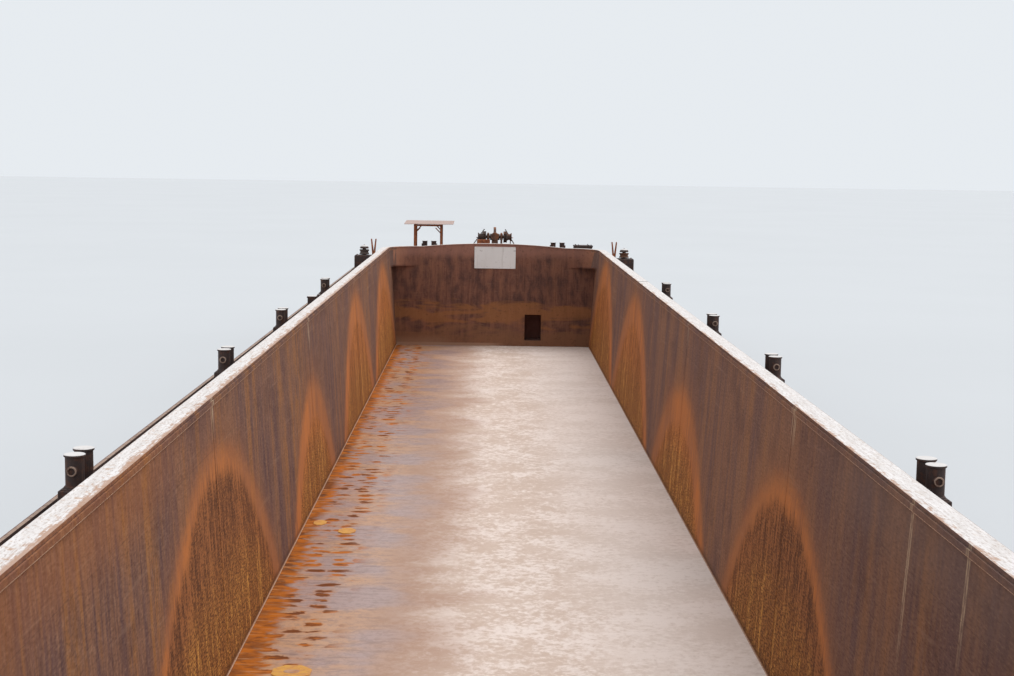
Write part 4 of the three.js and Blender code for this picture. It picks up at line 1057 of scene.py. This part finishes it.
# Anchor chains: welded links run from the chain wheels over the deck and down the hawse pipes.
# They are dark with rust. Each link is turned a quarter from the one before.
HAWSE_X, HAWSE_Y, HAWSE_TOP = 0.17, 4.59, 0.025
LINK_PITCH, LINK_WIDTH, LINK_RADIUS, LINK_STRAIGHT = 0.0118, 0.0095, 0.0016, 0.0035
link = start("torus", major_radius=LINK_WIDTH / 2 - LINK_RADIUS, minor_radius=LINK_RADIUS,
             major_segments=10, minor_segments=5)
pick_faces(link, lambda face: face.center.x > 0)
bpy.ops.transform.translate(value=(LINK_STRAIGHT, 0, 0))
done_editing()
link.data.transform(Matrix.Translation((-LINK_STRAIGHT / 2, 0, 0)))
for side, sign in SIDES:
    route = [Vector((AXIS.x + sign * CHAIN_WHEEL_X, AXIS.y + 0.012, DECK + 0.203)),
             Vector((sign * HAWSE_X, HAWSE_Y, DECK + HAWSE_TOP + 0.012)),
             Vector((sign * HAWSE_X, HAWSE_Y, DECK + 0.006))]
    links = []
    for a, b in zip(route, route[1:]):
        count = max(1, int((b - a).length / LINK_PITCH))
        aim = (b - a).to_track_quat("X", "Z").to_matrix().to_4x4()
        for i in range(count):
            roll = Matrix.Rotation(pi / 2 * (len(links) % 2) + 0.3, 4, "X")
            links.append(copied(link, a + (b - a) * (i + 0.5) / count, aim @ roll))
    chain = settle(gather(*links), f"chain_{side}", "worn_steel", steel_finish)
    bpy.ops.object.shade_smooth()
    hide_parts(f"anchor_chain_{side}")
remove(link)


# Anchors: stockless castings drawn up under the raked bow, with the flukes against the shell.
# Skegs: two thin fins under the stern that keep a barge in tow straight.
for side, sign in SIDES:
    anchor = dressed(f"anchor_{side}", 0.0018)
    settle(anchor, f"stockless_anchor_{side}", "worn_steel", steel_finish)
    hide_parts(f"anchor_{side}")
    skeg = dressed(f"skeg_{side}", 0.002)
    settle(skeg, f"skeg_fin_{side}", "shell", shell_finish)
    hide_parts(f"skeg_{side}")


# Shelter: a ribbed sheet roof, faded pinkish, on four rusty angle posts with corner gussets.
# The sheet is screwed to the rails and its lower edge is a little wavy.
RIBS, RIB_DEPTH = 30, 0.0012
SHEET = 0.0028
POST, FOOT_HALF, KNEE = 0.012, 0.011, 0.034
FRONT_TOP, BACK_TOP = DECK + 0.214, DECK + 0.22
roof_finish = worn_finish(
    "faded roof sheet", (192, 168, 158), ("cloud", (174, 148, 138)),
    ("mottle", 0.54, 0.66, 0.7, (156, 118, 102)), ("speckle", 0.6, 0.72, 0.4, (150, 104, 80)),
    roughness=0.8, depth=0.0006, relief=("mottle",))
low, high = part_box("shelter_roof")
size = high - low
middle = (low + high) / 2
roof = start("grid", (size.x / 2, size.y / 2, 1), x_subdivisions=RIBS * 4, y_subdivisions=6)
for vertex in roof.data.vertices:
    rib = cos(tau * RIBS * vertex.co.x / size.x)
    tilt = (size.z - 0.006) * vertex.co.y / size.y
    droop = 0.0008 * sin(61 * vertex.co.x) * (vertex.co.y < -0.1)
    vertex.co.z = tilt + RIB_DEPTH * rib - 0.0004 + droop
    vertex.co += middle
finish_with(roof, "SOLIDIFY", thickness=SHEET, offset=0)
bpy.ops.object.shade_smooth_by_angle(angle=radians(50))
settle(roof, "roof_sheet", "roof_sheet", roof_finish)
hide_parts("shelter_roof")

low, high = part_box("shelter_frame")
parts = [dressed("shelter_frame", 0.0008)]
for x_side, post_x in ((1, low.x + POST / 2), (-1, high.x - POST / 2)):
    for y_side, post_y, top in ((1, low.y + POST / 2, FRONT_TOP), (-1, high.y - POST / 2, BACK_TOP)):
        parts.append(block((post_x - FOOT_HALF, post_y - FOOT_HALF, DECK),
                           (post_x + FOOT_HALF, post_y + FOOT_HALF, DECK + 0.003)))
        knee = (post_x, post_y, top - 0.035)
        parts.append(rod(knee, (post_x + x_side * KNEE, post_y, top), 0.0032, 6))
        parts.append(rod(knee, (post_x, post_y + y_side * KNEE, top), 0.0032, 6))
shelter = settle(gather(*parts), "shelter_posts", "rusty_frame", orange_finish)
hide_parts("shelter_frame")


# Access hatches: a square trunk on each end deck with a hinged lid, held down by four swing dogs.
# The lid has a stiffened rim and a bar handle.
HATCH_HALF = 0.05
HANDLE_X, HANDLE_HALF, HANDLE_RISE, ROD_RADIUS = -0.02, 0.018, 0.004, 0.0018
dog = [(0, 0), (0.004, 0), (0.004, 0.0025), (0.0016, 0.003), (0.0016, 0.006), (0, 0.006)]
for end, sign in (("bow", 1), ("stern", -1)):
    low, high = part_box(f"hatch_trunk_{end}")
    centre = Vector(((low.x if sign > 0 else high.x) + sign * HATCH_HALF, (low.y + high.y) / 2, 0))
    parts = [dressed(f"hatch_trunk_{end}", 0.0008)]
    for x_side, y_side in ((1, 0), (-1, 0), (0, 1), (0, -1)):
        out = Vector((x_side, y_side, 0))
        aside = Vector((y_side, x_side, 0))
        foot = centre + out * (HATCH_HALF + 0.0012) + Vector((0, 0, DECK))
        parts.append(block(foot - out * 0.002 - aside * HATCH_HALF,
                           foot + out * 0.003 + aside * HATCH_HALF + Vector((0, 0, 0.005))))
        for shift in (-0.025, 0.025):
            rib = centre + out * (HATCH_HALF + 0.001) + aside * shift + Vector((0, 0, DECK + 0.004))
            parts.append(block(rib - aside * 0.001 - out * 0.002,
                               rib + aside * 0.001 + out * 0.004 + Vector((0, 0, 0.08)), 0.0004))
    trunk = settle(gather(*parts), f"trunk_{end}", "deck_gear", gear_finish)
    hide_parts(f"hatch_trunk_{end}")
    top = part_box(f"hatch_lid_{end}")[1].z
    ends = [centre + Vector((HANDLE_X, y_side * HANDLE_HALF, top + HANDLE_RISE)) for y_side in (-1, 1)]
    parts = [dressed(f"hatch_lid_{end}", 0.0008), rod(*ends, ROD_RADIUS)]
    for place in ends:
        parts.append(rod(place, place - Vector((0, 0, HANDLE_RISE + 0.001)), ROD_RADIUS))
    for x_side, y_side in CORNERS:
        corner = centre + Vector((x_side * 0.038, y_side * 0.042, top))
        parts.append(spun(dog, 12, at=corner))
        parts.append(block((-0.001, -0.006, 0.003), (0.001, 0.006, 0.0055), 0.0004, corner))
    lid = settle(gather(*parts), f"lid_{end}", "deck_gear", gear_finish, body=f"hatch_lid_{end}_body")
    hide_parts(f"hatch_lid_{end}")


# Signal mast: a tapered pipe that folds down to port in a welded tabernacle on the stern deck.
# It has a yard, climbing rungs and an all-round lantern with a ribbed lens.
LENS_RINGS, RUNGS = 6, 7
RUNG_HALF, RUNG_SPACING = 0.013, 0.02
mast_finish = worn_finish(
    "mast paint", (214, 210, 200), ("cloud", (188, 182, 170)), ("fine", 0.56, 0.68, 0.6, (176, 132, 100)),
    ("mottle", 0.6, 0.7, 0.7, (128, 84, 60)), roughness=0.6, depth=0.0004, relief=("mottle",), seed=3.0)
lens_finish = worn_finish(
    "lantern lens", (226, 226, 214), ("mottle", (196, 194, 180)), roughness=0.18, depth=0.0001,
    relief=("mottle",), sockets={"Coat Weight": 0.5})
mast_foot = middle_of("mast_tabernacle")
tabernacle = gather(dressed("mast_tabernacle", 0.0008), *corner_bolts(0.0035, 0.006, 0.009, mast_foot, 0.022))
settle(tabernacle, "tabernacle", "deck_gear", gear_finish)
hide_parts("mast_tabernacle")
mast_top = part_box("signal_mast")[1].z
lens_low, lens_high = mast_top - 0.027, mast_top - 0.012
parts = [dressed("signal_mast", 0.0006)]
for i in range(LENS_RINGS):
    level = lens_low + (lens_high - lens_low) * i / LENS_RINGS + 0.001
    ring = start("torus", major_radius=0.0122, minor_radius=0.0013, major_segments=24, minor_segments=6)
    ring.data.transform(Matrix.Translation((mast_foot.x, mast_foot.y, level)))
    parts.append(ring)
for i in range(RUNGS):
    level = DECK + 0.1 + RUNG_SPACING * i
    parts.append(rod((mast_foot.x, mast_foot.y - RUNG_HALF, level),
                     (mast_foot.x, mast_foot.y + RUNG_HALF, level), 0.0012, 6))
mast = settle(gather(*parts), "mast_pole", "mast_paint",
              (lens_finish, lambda face: lens_low < face.center.z < lens_high), mast_finish,
              body="signal_mast_body")
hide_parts("signal_mast")


# Number board: a blank sheet with a flat rim, bolted under the fore coaming.
# Hold ladder: welded stiles and rungs on the aft bulkhead.
RIM_WIDTH, RIM_DEPTH = 0.004, 0.0012
board_finish, shader, (x, y, z), (speckle, mottle, cloud) = gritty_finish("board paint")
fine, middle, broad = rain(x, z, 8.0)
colour = layers(
    tint(cloud, (238, 236, 234), (222, 220, 217)),
    (middle, 0.55, 0.68, 0.6, (176, 170, 160)),
    (mottle, 0.6, 0.7, 0.5, (110, 84, 70)))
wire(shader, {"Base Color": colour, "Roughness": 0.7, "Normal": bump(mottle, 0.0004)})
low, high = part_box("number_board")
parts = [dressed("number_board", 0.0006)]
for left, foot, right, top in ((low.x, low.z, high.x, low.z + RIM_WIDTH),
                               (low.x, high.z - RIM_WIDTH, high.x, high.z),
                               (low.x, low.z, low.x + RIM_WIDTH, high.z),
                               (high.x - RIM_WIDTH, low.z, high.x, high.z)):
    parts.append(block((left, low.y - RIM_DEPTH, foot), (right, low.y + 0.001, top), 0.0005))
board = settle(gather(*parts), "blank_board", "board", board_finish)
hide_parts("number_board")
ladder = dressed("hold_ladder", 0.0006)
settle(ladder, "hold_steps", "rusty_frame", orange_finish)
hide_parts("hold_ladder")
